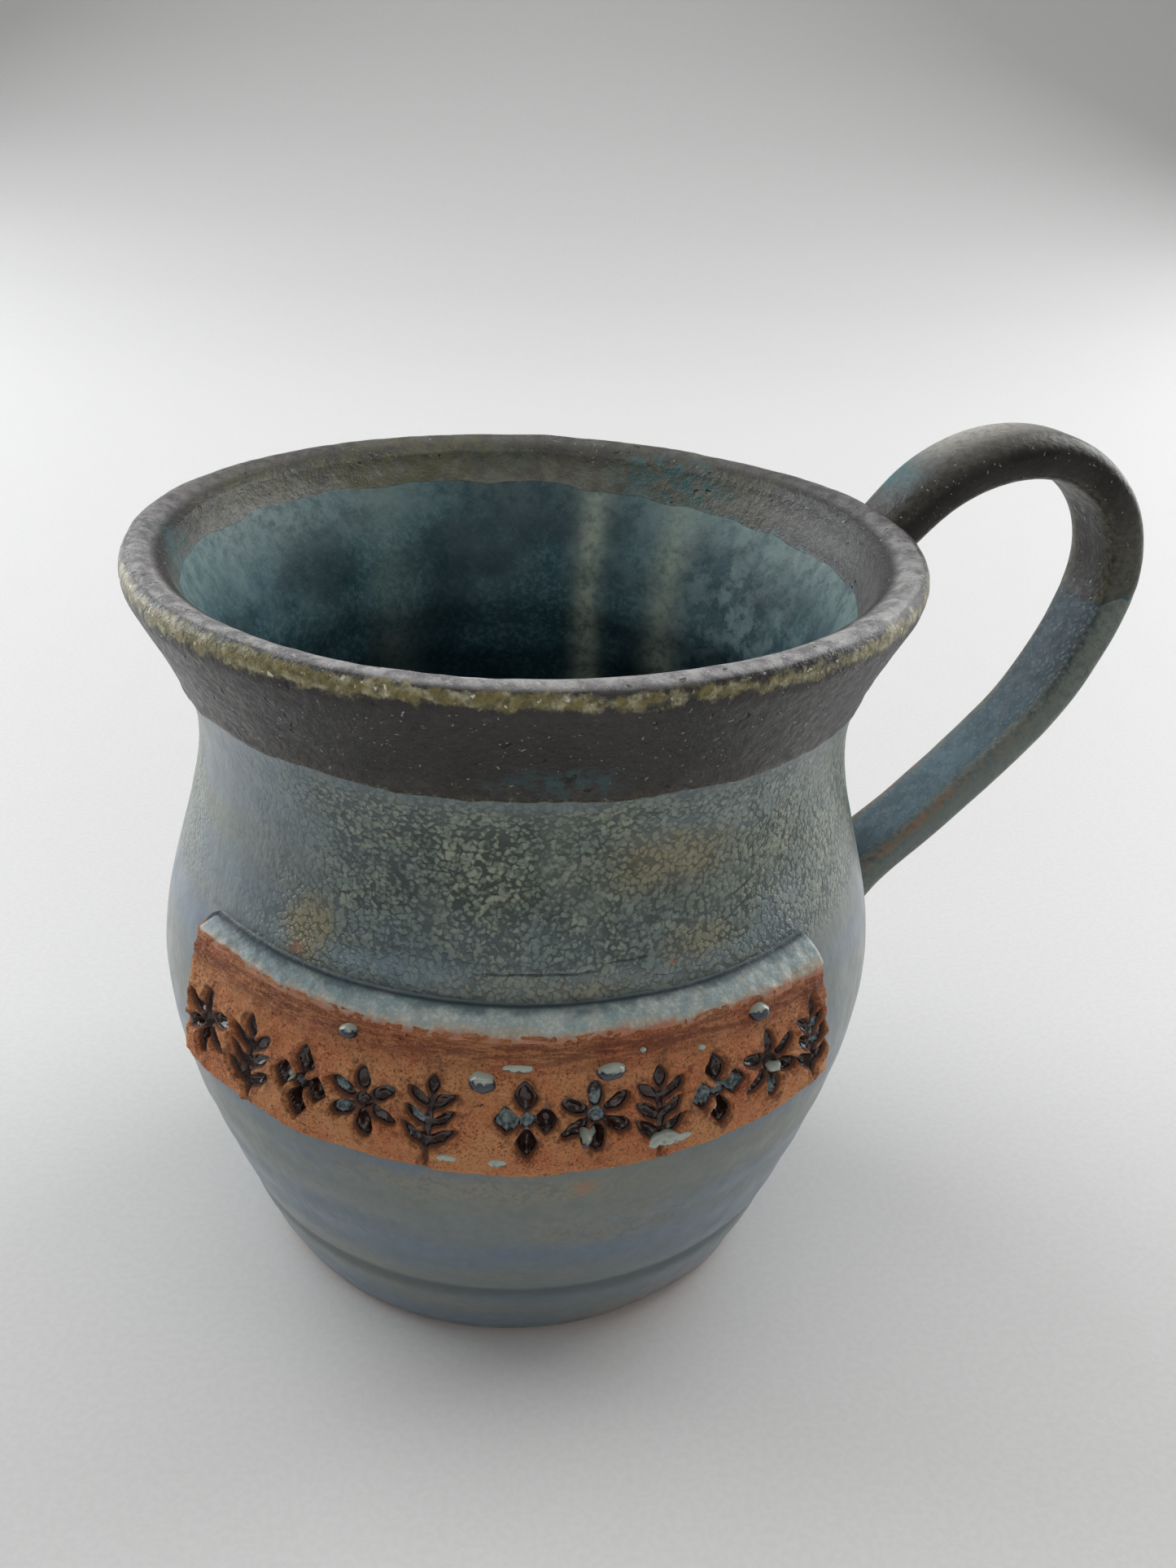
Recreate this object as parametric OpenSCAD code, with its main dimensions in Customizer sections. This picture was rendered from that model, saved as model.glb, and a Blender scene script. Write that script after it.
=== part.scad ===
// Hand-thrown stoneware mug: a thrown body, a pulled strap handle held by luting clay, a bare clay
// strip pressed on across the front, and the separate coats of glaze over them.
// The origin is the centre of the flat base, +Z runs up the vessel's axis, and the strip faces -Y.

/* [Vessel] */
// Height of the lip above the table
height = 94; // [90:1:98]
// Outside diameter of the lip
lip_d = 92; // [90:1:94]
// Outside diameter of the neck at its narrowest
neck_d = 78.4; // [77:0.2:80]
// Outside diameter of the belly at its widest
belly_d = 90.2; // [88:0.2:92]
// Diameter of the flat base
foot_d = 65; // [62:1:68]
// Height of the neck's narrowest ring
neck_z = 72.5; // [71:0.5:74]
// Height of the belly's widest ring
belly_z = 41.7; // [40:0.1:44]
// Thickness of the wall, glaze included
wall_t = 4.6; // [4.2:0.1:5]
// Thickness of the floor, glaze included
floor_t = 6; // [5:0.1:7]

/* [Handle] */
// Direction of the handle, counter-clockwise from +X
handle_az = 17; // [10:1:25]
// Width of the strap at its upper and lower end
strap_w = [10.8, 10.4]; // [9:0.1:12]
// Thickness of the strap at its upper and lower end
strap_t = [6.2, 3.8]; // [3.4:0.1:6.6]
// Radius of the pad of luting clay under the strap's upper end
upper_pad_r = 6.2; // [5.8:0.1:6.4]
// Radius of the pad of luting clay round the strap's lower end
lower_pad_r = 8; // [7:0.1:9]

/* [Clay strip] */
// Middle of the strip, counter-clockwise from +X
strip_az = -91.5; // [-95:0.5:-88]
// Angle that the strip covers
strip_span = 103; // [101:1:106]
// Height of the strip's lower edge
strip_low = 38.6; // [37:0.1:40]
// Height of the crease above the strip
strip_high = 57; // [56:0.1:59]
// How far the strip stands proud of the vessel
strip_t = 2.7; // [2.2:0.1:3.2]
// Depth of the stamped impressions
stamp_depth = 1.5; // [1:0.1:1.8]
// Angle between neighbouring impressions
stamp_pitch = 8.9; // [8.7:0.1:9]
// Extra angle between the left and right groups of impressions
stamp_gap = 3.6; // [3:0.1:4]

/* [Glaze] */
// Thickness of every coat of glaze
glaze_t = 0.4; // [0.3:0.05:0.5]
// Height that the dark glaze comes down to on the outside
dip_z = 78.5; // [76:0.5:80]
// Height that it comes down to inside, taken straight through the wall
inner_dip_z = 86; // [84:0.5:88]
// Height of the bare ring of clay at the foot
bare_foot = 1.6; // [1:0.1:3]

/* [Hidden] */
$fn = 72;
clay_colour = [0.66, 0.42, 0.27];
blue_colour = [0.36, 0.44, 0.45];
dark_colour = [0.20, 0.18, 0.16];
liner_colour = [0.10, 0.20, 0.23];
pale_colour = [0.55, 0.63, 0.62];

// ---- the wall's shape ----

// The lip is a round bead as thick as the wall, and the flare below it runs into it at this slope.
flare = 0.51;
flare_angle = atan(flare);
lip_r = wall_t / 2;
bead = [lip_d / 2 - lip_r, height - lip_r];
flare_top = bead[1] - lip_r * sin(flare_angle);

// Stations up the outside: height, radius and slope of the radius. A cubic joins each pair.
stations = [
    [0, foot_d / 2, 0.55],
    [12, foot_d / 2 + 5.2, 0.355],
    [belly_z, belly_d / 2, 0],
    [neck_z, neck_d / 2, 0],
    [flare_top, bead[0] + lip_r * cos(flare_angle), flare]
];
last_span = len(stations) - 2;

function span_of(z, i = 0) = (i == last_span || z <= stations[i + 1][0]) ? i : span_of(z, i + 1);
function cubic(a, b, t) = let (w = b[0] - a[0])
    (2 * pow(t, 3) - 3 * t * t + 1) * a[1] + (pow(t, 3) - 2 * t * t + t) * w * a[2]
    + (3 * t * t - 2 * pow(t, 3)) * b[1] + (pow(t, 3) - t * t) * w * b[2];
function outer(z) = let (i = span_of(z), a = stations[i], b = stations[i + 1])
    cubic(a, b, (z - a[0]) / (b[0] - a[0]));
function lean(z) = atan((outer(z + 0.05) - outer(z - 0.05)) / 0.1);

// A point at some depth under the outside surface, measured square to it.
function under(z, depth) = [outer(z) - depth * cos(lean(z)), z + depth * sin(lean(z))];

// Lines of points along the wall, about one for every ring_step of height.
ring_step = 2.4;
function stretch(depth, from, to) = let (n = ceil(abs(to - from) / ring_step))
    [for (i = [0 : n]) under(from + (to - from) * i / n, depth)];
function arc(centre, r, from, to, n) =
    [for (i = [0 : n]) let (a = from + (to - from) * i / n) centre + r * [cos(a), sin(a)]];
function last(points) = points[len(points) - 1];
function reversed(points) = [for (i = [len(points) - 1 : -1 : 0]) points[i]];

// Inside, a wide round fillet joins the wall to the flat floor.
fillet_z = 18;
fillet_angle = lean(fillet_z);
fillet_r = (under(fillet_z, wall_t)[1] - floor_t) / (1 - sin(fillet_angle));
fillet_centre = under(fillet_z, wall_t) + fillet_r * [-cos(fillet_angle), sin(fillet_angle)];

// The glazed surface, or a surface at some depth below it, from the foot over the lip to the floor.
function foot_line(depth) = stretch(depth, 0, bare_foot);
function belly_line(depth) = concat(stretch(depth, bare_foot, strip_low),
    stretch(depth, strip_low, strip_high), stretch(depth, strip_high, dip_z));
function band_line(depth) = stretch(depth, dip_z, flare_top);
function lip_line(depth) = arc(bead, lip_r - depth, -flare_angle, 180 - flare_angle, 16);
function inner_band_line(depth) = stretch(wall_t - depth, flare_top, inner_dip_z);
function inner_line(depth) = concat(stretch(wall_t - depth, inner_dip_z, fillet_z),
    arc(fillet_centre, fillet_r + depth, -fillet_angle, -90, 10), [[0, floor_t - depth]]);

function outside_line(depth) = concat([[0, 0], [foot_d / 2 - 1, 0]], foot_line(depth),
    belly_line(depth), band_line(depth));

module wall_solid(depth) rotate_extrude()
    polygon(concat(outside_line(depth), lip_line(depth), inner_band_line(depth), inner_line(depth)));

// The solid vessel near the lip and near the belly, for trimming what is pressed on to it.
core_radius = 20;
module core(points) rotate_extrude()
    polygon(concat([[core_radius, points[0][1]]], points, [[core_radius, last(points)[1]]]));
module lip_core(depth) core(concat(band_line(depth), arc(bead, lip_r - depth, -flare_angle, 90, 10)));
module belly_core(depth) core(stretch(depth, strip_low - 8, strip_high - 4));

module coat(skin, clay) rotate_extrude() polygon(concat(skin, reversed(clay)));

// ---- the handle's shape ----

// The strap starts inside the flare at this radius, height and heading. Each bend has a radius and a
// turn, both negative where it turns up and away from the wall.
strap_start = [38.2, 83.5];
strap_heading = 12.5;
bends = [[-9, -40], [70, 9], [21, 49.5], [16, 101.5], [48, 28.5], [210, 9]];

ring_turn = 9;
ring_gap = 6;

function heading_of(i) = i == 0 ? strap_heading : heading_of(i - 1) - bends[i - 1][1];
function side(heading) = [sin(heading), -cos(heading)];
function start_of(i) = i == 0 ? strap_start
    : start_of(i - 1) + bends[i - 1][0] * (side(heading_of(i - 1)) - side(heading_of(i)));
function rings_in(i) = let (turn = abs(bends[i][1]), length = abs(bends[i][0]) * turn * PI / 180)
    max(ceil(turn / ring_turn), ceil(length / ring_gap));

// Rings of points down the strap, each with its place and heading, and the number before each bend.
function ring_at(i, share) = let (h = heading_of(i), turned = h - share * bends[i][1])
    [start_of(i) + bends[i][0] * (side(h) - side(turned)), turned];
rings = concat([for (i = [0 : len(bends) - 1], j = [0 : rings_in(i) - 1]) ring_at(i, j / rings_in(i))],
    [ring_at(len(bends) - 1, 1)]);
function rings_before(i) = i == 0 ? 0 : rings_before(i - 1) + rings_in(i - 1);
last_ring = len(rings) - 1;
// The dark glaze ends where the fourth bend does, level with its edge on the vessel.
dark_ring = rings_before(4);

// The strap's section is a rectangle with well rounded corners, which tapers along its length.
sides = 16;
roundness = 0.6;
function rounded(v) = sign(v) * pow(abs(v), roundness);
function ring_points(i, grow) = let (share = i / last_ring,
        half_t = (strap_t[0] + (strap_t[1] - strap_t[0]) * share) / 2 + grow,
        half_w = (strap_w[0] + (strap_w[1] - strap_w[0]) * share) / 2 + grow)
    [for (k = [0 : sides - 1]) let (a = 360 * k / sides,
            p = rings[i][0] + half_t * rounded(cos(a)) * side(rings[i][1]))
        [p[0], half_w * rounded(sin(a)), p[1]]];

// The faces between two rings of points that start at these numbers, facing out.
function band_faces(a, b) = [for (k = [0 : sides - 1]) let (n = (k + 1) % sides) [a + k, b + k, b + n, a + n]];
function turned_in(faces) = [for (f = faces) reversed(f)];

module strap(from, to, grow) {
    count = to - from;
    rotate([0, 0, handle_az]) polyhedron(
        [for (i = [from : to]) each ring_points(i, grow)],
        concat([[for (k = [0 : sides - 1]) k]], [[for (k = [sides - 1 : -1 : 0]) count * sides + k]],
            [for (i = [0 : count - 1]) each band_faces(i * sides, (i + 1) * sides)])
    );
}

// A coat of glaze round the strap: an outer skin, an inner skin, and a rim at each end.
module strap_coat(from, to) {
    count = to - from;
    inner = (count + 1) * sides;
    rotate([0, 0, handle_az]) polyhedron(
        concat([for (i = [from : to]) each ring_points(i, glaze_t)],
            [for (i = [from : to]) each ring_points(i, 0)]),
        concat([for (i = [0 : count - 1]) each band_faces(i * sides, (i + 1) * sides)],
            turned_in([for (i = [0 : count - 1]) each band_faces(inner + i * sides, inner + (i + 1) * sides)]),
            band_faces(inner, 0), band_faces(count * sides, inner + count * sides))
    );
}

// A ball of luting clay is pressed round each end of the strap, centred at this radius and height.
upper_pad_place = [41.8, 85];
lower_pad_place = [43, 40.5];
module pad(place, r) rotate([0, 0, handle_az]) translate([place[0], 0, place[1]]) sphere(r);
module upper_pad(grow) pad(upper_pad_place, upper_pad_r + grow);
module lower_pad(grow) pad(lower_pad_place, lower_pad_r + grow);

// ---- the clay strip's shape ----

bevel_low = 1.6;
bevel_high = 1.4;
strip_face = stretch(-strip_t, strip_low + bevel_low, strip_high - bevel_high);

module strip_sector(points) rotate([0, 0, strip_az - strip_span / 2])
    rotate_extrude(angle = strip_span) polygon(points);
module strip_solid() strip_sector(concat(strip_face, stretch(glaze_t, strip_high, strip_low)));

// A window through the outer glaze where the strip is luted to bare clay.
window_lap = 0.5;
module strip_window() strip_sector([
    [outer(strip_high) - wall_t, strip_low], [lip_d, strip_low],
    [lip_d, strip_high + window_lap], [outer(strip_high) - wall_t, strip_high + window_lap]
]);

// Two groups of stamped motifs, whose line rises a little towards both ends of the strip.
left_group = 5;
stamp_count = 11;
first_stamp_az = -136.8;
stamp_low = 44.8;
stamp_rise = 2.4;
function stamp_az(i) = first_stamp_az + i * stamp_pitch + (i < left_group ? 0 : stamp_gap);
function stamp_z(i) = stamp_low + stamp_rise * pow(2 * (stamp_az(i) - strip_az) / strip_span, 2);

module seed(w, h) polygon([[w / 2, 0], [0, h / 2], [-w / 2, 0], [0, -h / 2]]);
module rosette() {
    circle(0.8, $fn = 16);
    for (a = [0 : 60 : 300]) rotate(a) translate([0, 2.2]) circle(0.85, $fn = 16);
}
module grain_ear() {
    translate([0, 2.5]) seed(1.4, 2.4);
    for (y = [-2.4, -0.4, 1.4], side = [-1, 1])
        translate([side * 1.5, y]) rotate(-35 * side) seed(1.3, 2.6);
}
module lattice() for (x = [-1, 1], y = [-1, 1]) {
    translate([x * 1.45, 0]) seed(2.1, 2.9);
    translate([0, y * 2]) seed(2.1, 2.9);
}

// The impressions, from their floor outwards for a given height.
module impressions(h) for (i = [0 : stamp_count - 1])
    rotate([0, 0, stamp_az(i)])
        translate([outer(stamp_z(i)) + strip_t - stamp_depth, 0, stamp_z(i)])
            rotate([90, 0, 90]) linear_extrude(h) {
                if (i % 3 == 0) rosette();
                if (i % 3 == 1) grain_ear();
                if (i % 3 == 2) lattice();
            }

// Beads of glaze on the strip: direction, height and radius of each.
beads = [[-112.3, 52.6, 1.1], [-94.2, 49.6, 1.3], [-77.7, 50.4, 1.4], [-73.3, 52.2, 0.6],
         [-64.9, 51.4, 0.6], [-55.4, 52.7, 1.2], [-106.3, 41.2, 1.1], [-93, 40.9, 1.2], [-67, 41.3, 1.3]];
// Each bead is a ball with this share of its radius cut off flat against the strip.
bead_sink = 0.3;

// ---- the pieces ----

module mug_body() color(clay_colour) wall_solid(glaze_t);

module outer_glaze() color(blue_colour) difference() {
    coat(belly_line(0), belly_line(glaze_t));
    strip_window();
    lower_pad(0);
}

module rim_glaze() color(dark_colour) difference() {
    coat(concat(band_line(0), lip_line(0), inner_band_line(0)),
        concat(band_line(glaze_t), lip_line(glaze_t), inner_band_line(glaze_t)));
    strap(0, dark_ring, 0);
    upper_pad(0);
}

module liner_glaze() color(liner_colour) coat(inner_line(0), inner_line(glaze_t));

module handle() color(clay_colour) difference() {
    strap(0, last_ring, 0);
    lip_core(glaze_t);
    belly_core(glaze_t);
}

module upper_luting_pad() color(clay_colour) difference() {
    upper_pad(0);
    lip_core(glaze_t);
    strap(0, dark_ring, 0);
}

module lower_luting_pad() color(clay_colour) difference() {
    lower_pad(0);
    belly_core(glaze_t);
    strap(dark_ring, last_ring, 0);
}

module handle_dark_glaze() color(dark_colour) {
    difference() {
        strap_coat(0, dark_ring);
        upper_pad(0);
        lip_core(0);
    }
    difference() {
        upper_pad(glaze_t);
        upper_pad(0);
        strap(0, dark_ring, glaze_t);
        lip_core(0);
    }
}

module handle_blue_glaze() color(blue_colour) {
    difference() {
        strap_coat(dark_ring, last_ring);
        lower_pad(0);
        belly_core(0);
    }
    difference() {
        lower_pad(glaze_t);
        lower_pad(0);
        strap(dark_ring, last_ring, glaze_t);
        belly_core(0);
    }
}

module clay_strip() color(clay_colour) difference() {
    strip_solid();
    impressions(2 * stamp_depth);
}

module strip_edge_glaze() {
    face_top = under(strip_high - bevel_high, -strip_t);
    crease = under(strip_high, glaze_t);
    run = (face_top - crease) / norm(face_top - crease);
    lift = glaze_t * [-run[1], run[0]];
    color(pale_colour) strip_sector([crease, face_top, face_top + lift, crease + lift]);
}

module impression_glaze() color(dark_colour) impressions(glaze_t);

module glaze_beads() color(pale_colour) for (b = beads) {
    foot = under(b[1], -strip_t);
    rotate([0, 0, b[0]]) translate([foot[0], 0, foot[1]]) rotate([0, lean(b[1]), 0])
        translate([-bead_sink * b[2], 0, 0]) intersection() {
            sphere(b[2], $fn = 32);
            translate([bead_sink, -1, -1] * b[2]) cube(2 * b[2]);
        }
}

mug_body();
outer_glaze();
liner_glaze();
rim_glaze();
handle();
upper_luting_pad();
lower_luting_pad();
handle_dark_glaze();
handle_blue_glaze();
clay_strip();
strip_edge_glaze();
impression_glaze();
glaze_beads();
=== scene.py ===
"""A hand-thrown stoneware mug: its meshes and materials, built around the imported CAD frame.

Lengths are in millimetres and angles in degrees until a mesh, a material or a light is made.
Directions round the pot run counter-clockwise from +X, so the stamped strip faces -90.
"""

import math
from functools import partial, reduce
from itertools import product

import bmesh
import bpy
import numpy as np
from mathutils import Matrix, Vector


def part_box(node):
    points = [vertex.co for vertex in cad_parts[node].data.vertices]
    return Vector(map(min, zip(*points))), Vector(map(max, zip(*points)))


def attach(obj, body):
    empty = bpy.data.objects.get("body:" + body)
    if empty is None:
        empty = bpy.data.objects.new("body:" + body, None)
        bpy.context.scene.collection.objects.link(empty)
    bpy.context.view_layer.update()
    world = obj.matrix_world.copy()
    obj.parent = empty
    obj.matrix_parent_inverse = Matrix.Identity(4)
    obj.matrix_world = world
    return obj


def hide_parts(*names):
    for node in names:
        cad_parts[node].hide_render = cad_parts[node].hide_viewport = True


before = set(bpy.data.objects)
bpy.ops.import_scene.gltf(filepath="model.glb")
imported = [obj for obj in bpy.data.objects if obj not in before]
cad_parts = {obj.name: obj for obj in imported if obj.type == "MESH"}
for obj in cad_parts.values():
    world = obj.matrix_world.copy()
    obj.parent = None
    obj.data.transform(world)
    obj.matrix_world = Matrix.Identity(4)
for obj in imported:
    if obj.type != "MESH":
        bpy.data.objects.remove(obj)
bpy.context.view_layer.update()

MM = 0.001


# ---- camera, lights and table, in metres ----

CAMERA_PLACE = (0.0, -0.1750, 0.1502)
CAMERA_PITCH, CAMERA_YAW, CAMERA_ROLL = 26.96, 2.707, 2.661
CAMERA_LENS, CAMERA_SENSOR, CAMERA_NEAR = 47.37, 36.0, 0.01
MUG_MIDDLE = Vector((0, 0, 0.05))
# Name, place, size, power in watts and colour.
LIGHTS = [
    ("window_left", (-0.62, 0.38, 0.36), (0.7, 0.7), 5.5, (0.95, 0.98, 1.0)),
    ("window_right", (0.62, 0.42, 0.36), (0.6, 0.7), 4.7, (0.96, 0.98, 1.0)),
    ("ceiling", (0.0, 0.10, 0.95), (1.0, 1.0), 2.8, (1, 1, 1)),
    ("fill", (0.15, -0.95, 0.65), (0.9, 0.7), 1.6, (1, 1, 1)),
]
WORLD_COLOUR, WORLD_STRENGTH = (0.82, 0.82, 0.835, 1), 0.26
TABLE_HALF_WIDTH, TABLE_FRONT, TABLE_BEND, BEND_RADIUS, BACKDROP_TOP = 2.6, -1.6, 0.55, 0.9, 2.2
BEND_STEPS = 12


def add_object(name, data):
    thing = bpy.data.objects.new(name, data)
    bpy.context.scene.collection.objects.link(thing)
    return thing


def add_camera():
    data = bpy.data.cameras.new("camera")
    data.lens, data.sensor_width, data.sensor_fit = CAMERA_LENS, CAMERA_SENSOR, "HORIZONTAL"
    data.clip_start = CAMERA_NEAR
    camera = add_object("camera", data)
    camera.matrix_world = Matrix.Translation(CAMERA_PLACE)
    for turn, axis in ((-CAMERA_YAW, "Z"), (90 - CAMERA_PITCH, "X"), (CAMERA_ROLL, "Z")):
        camera.matrix_world = camera.matrix_world @ Matrix.Rotation(math.radians(turn), 4, axis)
    bpy.context.scene.camera = camera


def add_lights():
    """Soft rectangular lights turned to the mug, and a dim even light from all round."""
    for name, place_at, size, power, colour in LIGHTS:
        data = bpy.data.lights.new(name, "AREA")
        data.shape, data.size, data.size_y = "RECTANGLE", *size
        data.energy, data.color = power, colour
        light = add_object(name, data)
        light.location = place_at
        light.rotation_euler = (MUG_MIDDLE - light.location).to_track_quat("-Z", "Y").to_euler()
    world = bpy.data.worlds.new("studio")
    world.use_nodes = True
    world.node_tree.nodes["Background"].inputs["Color"].default_value = WORLD_COLOUR
    world.node_tree.nodes["Background"].inputs["Strength"].default_value = WORLD_STRENGTH
    bpy.context.scene.world = world
    bpy.context.scene.view_settings.view_transform = "Standard"


def add_table(material):
    """A pale table that curves up into a backdrop behind the mug."""
    profile = [(TABLE_FRONT, 0.0)]
    for a in np.linspace(0, math.pi / 2, BEND_STEPS + 1):
        profile.append((TABLE_BEND + BEND_RADIUS * math.sin(a), BEND_RADIUS * (1 - math.cos(a))))
    profile.append((TABLE_BEND + BEND_RADIUS, BACKDROP_TOP))
    points = [(x, y, z) for y, z in profile for x in (-TABLE_HALF_WIDTH, TABLE_HALF_WIDTH)]
    faces = [(i, i + 1, i + 3, i + 2) for i in range(0, 2 * len(profile) - 2, 2)]
    mesh = bpy.data.meshes.new("table")
    mesh.from_pydata(points, [], faces)
    mesh.shade_smooth()
    mesh.materials.append(material)
    table = add_object("table", mesh)


# ---- repeatable noise and shapes of numbers ----

HASH = (73856093, 19349663, 83492791, 49979687)
HASH_MIX, HASH_MASK, HASH_TOP = 1274126177, 0xFFFFFFFF, 0xFFFF
OCTAVE_SHIFT = 37.7
RING_RADIUS, RING_LIFT = 45, 7.3


def scatter(i, j, k, seed):
    """A repeatable number from 0 to 1 for each whole-numbered cell."""
    n = (i * HASH[0]) ^ (j * HASH[1]) ^ (k * HASH[2]) ^ (seed * HASH[3])
    n = ((n ^ (n >> 13)) * HASH_MIX) & HASH_MASK
    n = ((n ^ (n >> 15)) * HASH_MIX) & HASH_MASK
    return ((n >> 8) & HASH_TOP) / HASH_TOP


def noise(points, size, seed=0, octaves=1):
    """Smooth noise from -1 to 1, whose bumps are about size across."""
    total, weight, sum_of_weights = 0.0, 1.0, 0.0
    for octave in range(octaves):
        p = points / size * 2 ** octave + OCTAVE_SHIFT * (octave + 1)
        cell = np.floor(p).astype(np.int64)
        f = smooth(p - cell)
        value = 0.0
        for corner in product((0, 1), repeat=3):
            share = 1.0
            for axis, far in enumerate(corner):
                share = share * (f[..., axis] if far else 1 - f[..., axis])
            value = value + share * scatter(*(cell[..., a] + corner[a] for a in range(3)), seed)
        total = total + weight * (2 * value - 1)
        sum_of_weights += weight
        weight *= 0.5
    return total / sum_of_weights


def ring_noise(az, size, seed, octaves=1):
    """Smooth noise from -1 to 1 round the pot."""
    a = np.radians(az)
    lift = np.full_like(a, RING_LIFT * seed)
    return noise(np.stack([RING_RADIUS * np.cos(a), RING_RADIUS * np.sin(a), lift], -1), size, seed, octaves)


def smooth(x):
    """0 below 0, 1 above 1, and a smooth step between them."""
    x = np.clip(x, 0, 1)
    return x * x * (3 - 2 * x)


def dome(x):
    """A quarter circle's rise from 0 at 0 to 1 at 1, and flat beyond it."""
    return np.sqrt(1 - (1 - np.clip(x, 0, 1)) ** 2)


def bump(x, middle, width):
    return np.exp(-((x - middle) / width) ** 2)


def turn_between(az, middle):
    """The signed angle from middle to az, from -180 to 180."""
    return (az - middle + 180) % 360 - 180


def bump_at(az, middle, width):
    """1 at a direction round the pot, and 0 well away from it."""
    return bump(turn_between(az, middle), 0, width)


# ---- the thrown wall ----

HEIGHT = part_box("rim_glaze")[1].z / MM
LIP_RADIUS = -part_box("rim_glaze")[0].x / MM
WALL, FLOOR, GLAZE = 4.6, 6.0, 0.4
BEAD_R = WALL / 2
BEAD = (LIP_RADIUS - BEAD_R, HEIGHT - BEAD_R)
FLARE = 0.51
FLARE_LEAN = math.atan(FLARE)
FLARE_TURN = math.degrees(FLARE_LEAN)
FLARE_TOP = BEAD[1] - BEAD_R * math.sin(FLARE_LEAN)
FOOT_R, BELLY_R, NECK_R = 32.5, 45.1, 39.2
BELLY_Z, NECK_Z = 41.7, 72.5
# Height, radius and slope of the outside at each station.
STATIONS = np.array([
    (0, FOOT_R, 0.55), (12, FOOT_R + 5.2, 0.355), (BELLY_Z, BELLY_R, 0), (NECK_Z, NECK_R, 0),
    (FLARE_TOP, BEAD[0] + BEAD_R * math.cos(FLARE_LEAN), FLARE),
])
DIP_Z, INNER_DIP_Z = 78.5, 86.0
FILLET_Z = 18.0
GROOVE_Z = 11.2
LEAN_STEP = 0.05


def outer(z):
    """The outside radius at a height: a cubic between each two stations."""
    z = np.asarray(z, float)
    i = np.clip(np.searchsorted(STATIONS[:, 0], z) - 1, 0, len(STATIONS) - 2)
    a, b = STATIONS[i], STATIONS[i + 1]
    w = b[..., 0] - a[..., 0]
    t = (z - a[..., 0]) / w
    return ((2 * t ** 3 - 3 * t * t + 1) * a[..., 1] + (t ** 3 - 2 * t * t + t) * w * a[..., 2]
            + (3 * t * t - 2 * t ** 3) * b[..., 1] + (t ** 3 - t * t) * w * b[..., 2])


def lean(z):
    """The wall's angle from upright at a height, in radians."""
    return np.arctan((outer(z + LEAN_STEP) - outer(z - LEAN_STEP)) / (2 * LEAN_STEP))


def under(z, depth):
    """Radius and height of a point at some depth under the outside, measured square to it."""
    a = lean(z)
    return np.stack(np.broadcast_arrays(outer(z) - depth * np.cos(a), z + depth * np.sin(a)), -1)


def place(az, line):
    """Points of the pot at a direction, radius and height, moved as throwing and firing warp it."""
    a = np.radians(az)
    r, z = line[..., 0], line[..., 1]
    warp = 0.22 * np.sin(2 * a + 0.8) + 0.12 * np.sin(3 * a + 2.1) + 0.06 * np.sin(5 * a + 0.4)
    r = r + warp * (z / HEIGHT) * np.clip(r / 30, 0, 1)
    z = z + (0.16 * np.sin(2 * a + 2.4) + 0.08 * np.sin(5 * a)) * smooth((z - 74) / 18)
    return np.stack([r * np.cos(a), r * np.sin(a), z], -1)


def wall(az, z, depth=0.0):
    """Points on the warped wall, at some depth under its outside."""
    az, z, depth = np.broadcast_arrays(az, z, depth)
    return place(az, under(z, depth))


def clay_depth(z):
    """Depth of the clay's own outside, with the potter's groove cut in it."""
    return GLAZE + 0.35 * bump(z, GROOVE_Z, 1.6)


# Where one coat stops and the next starts, for each direction.
def dip_edge(az):
    """Height of the dark glaze's lower edge."""
    return (DIP_Z + 0.15 + 0.9 * np.cos(np.radians(az + 100)) + 0.40 * ring_noise(az, 9, 1)
            + 0.30 * ring_noise(az, 3, 2) + 0.14 * ring_noise(az, 1.1, 8))


def inner_dip_edge(az):
    """Height of the dark glaze's edge inside."""
    return (INNER_DIP_Z + 0.2 + np.cos(np.radians(az - 165)) + 0.5 * ring_noise(az, 12, 3)
            + 0.3 * ring_noise(az, 4, 4))


def foot_edge(az):
    """Height where the body glaze was wiped off above the foot."""
    uneven = 0.35 * ring_noise(az, 14, 5) + 0.2 * ring_noise(az, 4, 6)
    return np.maximum(0.7, 0.85 + 1.7 * bump_at(az, -56, 14) + uneven)


# ---- meshes over grids ----

EDGE_STEPS = np.array([0.0, 0.04, 0.12, 0.25, 0.42, 0.65, 0.95])


def edged(start, end, rows):
    """Heights from start to end, close together where they leave start."""
    near = start + EDGE_STEPS * np.sign(end - start)
    far = near[:, -1:] + np.linspace(0, 1, rows)[1:] * (end - near[:, -1:])
    return np.concatenate([near, far], axis=1)


def swell(distance, width):
    """How full a coat of glaze is at a distance from its edge, with the thicker roll of a run edge."""
    return dome(distance / width) + 0.25 * bump(distance, 1.1 * width, 0.7 * width)


def join_lines(*lines):
    """One line of points from several, each starting where the last ended."""
    return np.concatenate([lines[0]] + [line[:, 1:] for line in lines[1:]], axis=1)


def constant(columns, pairs):
    """The same few points of radius and height for every column."""
    return np.broadcast_to(np.array(pairs, float), (columns, len(pairs), 2))


def arc_line(columns, centre, r, start, end, count):
    a = np.radians(np.linspace(start, end, count))
    return constant(columns, np.stack([centre[0] + r * np.cos(a), centre[1] + r * np.sin(a)], -1))


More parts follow.
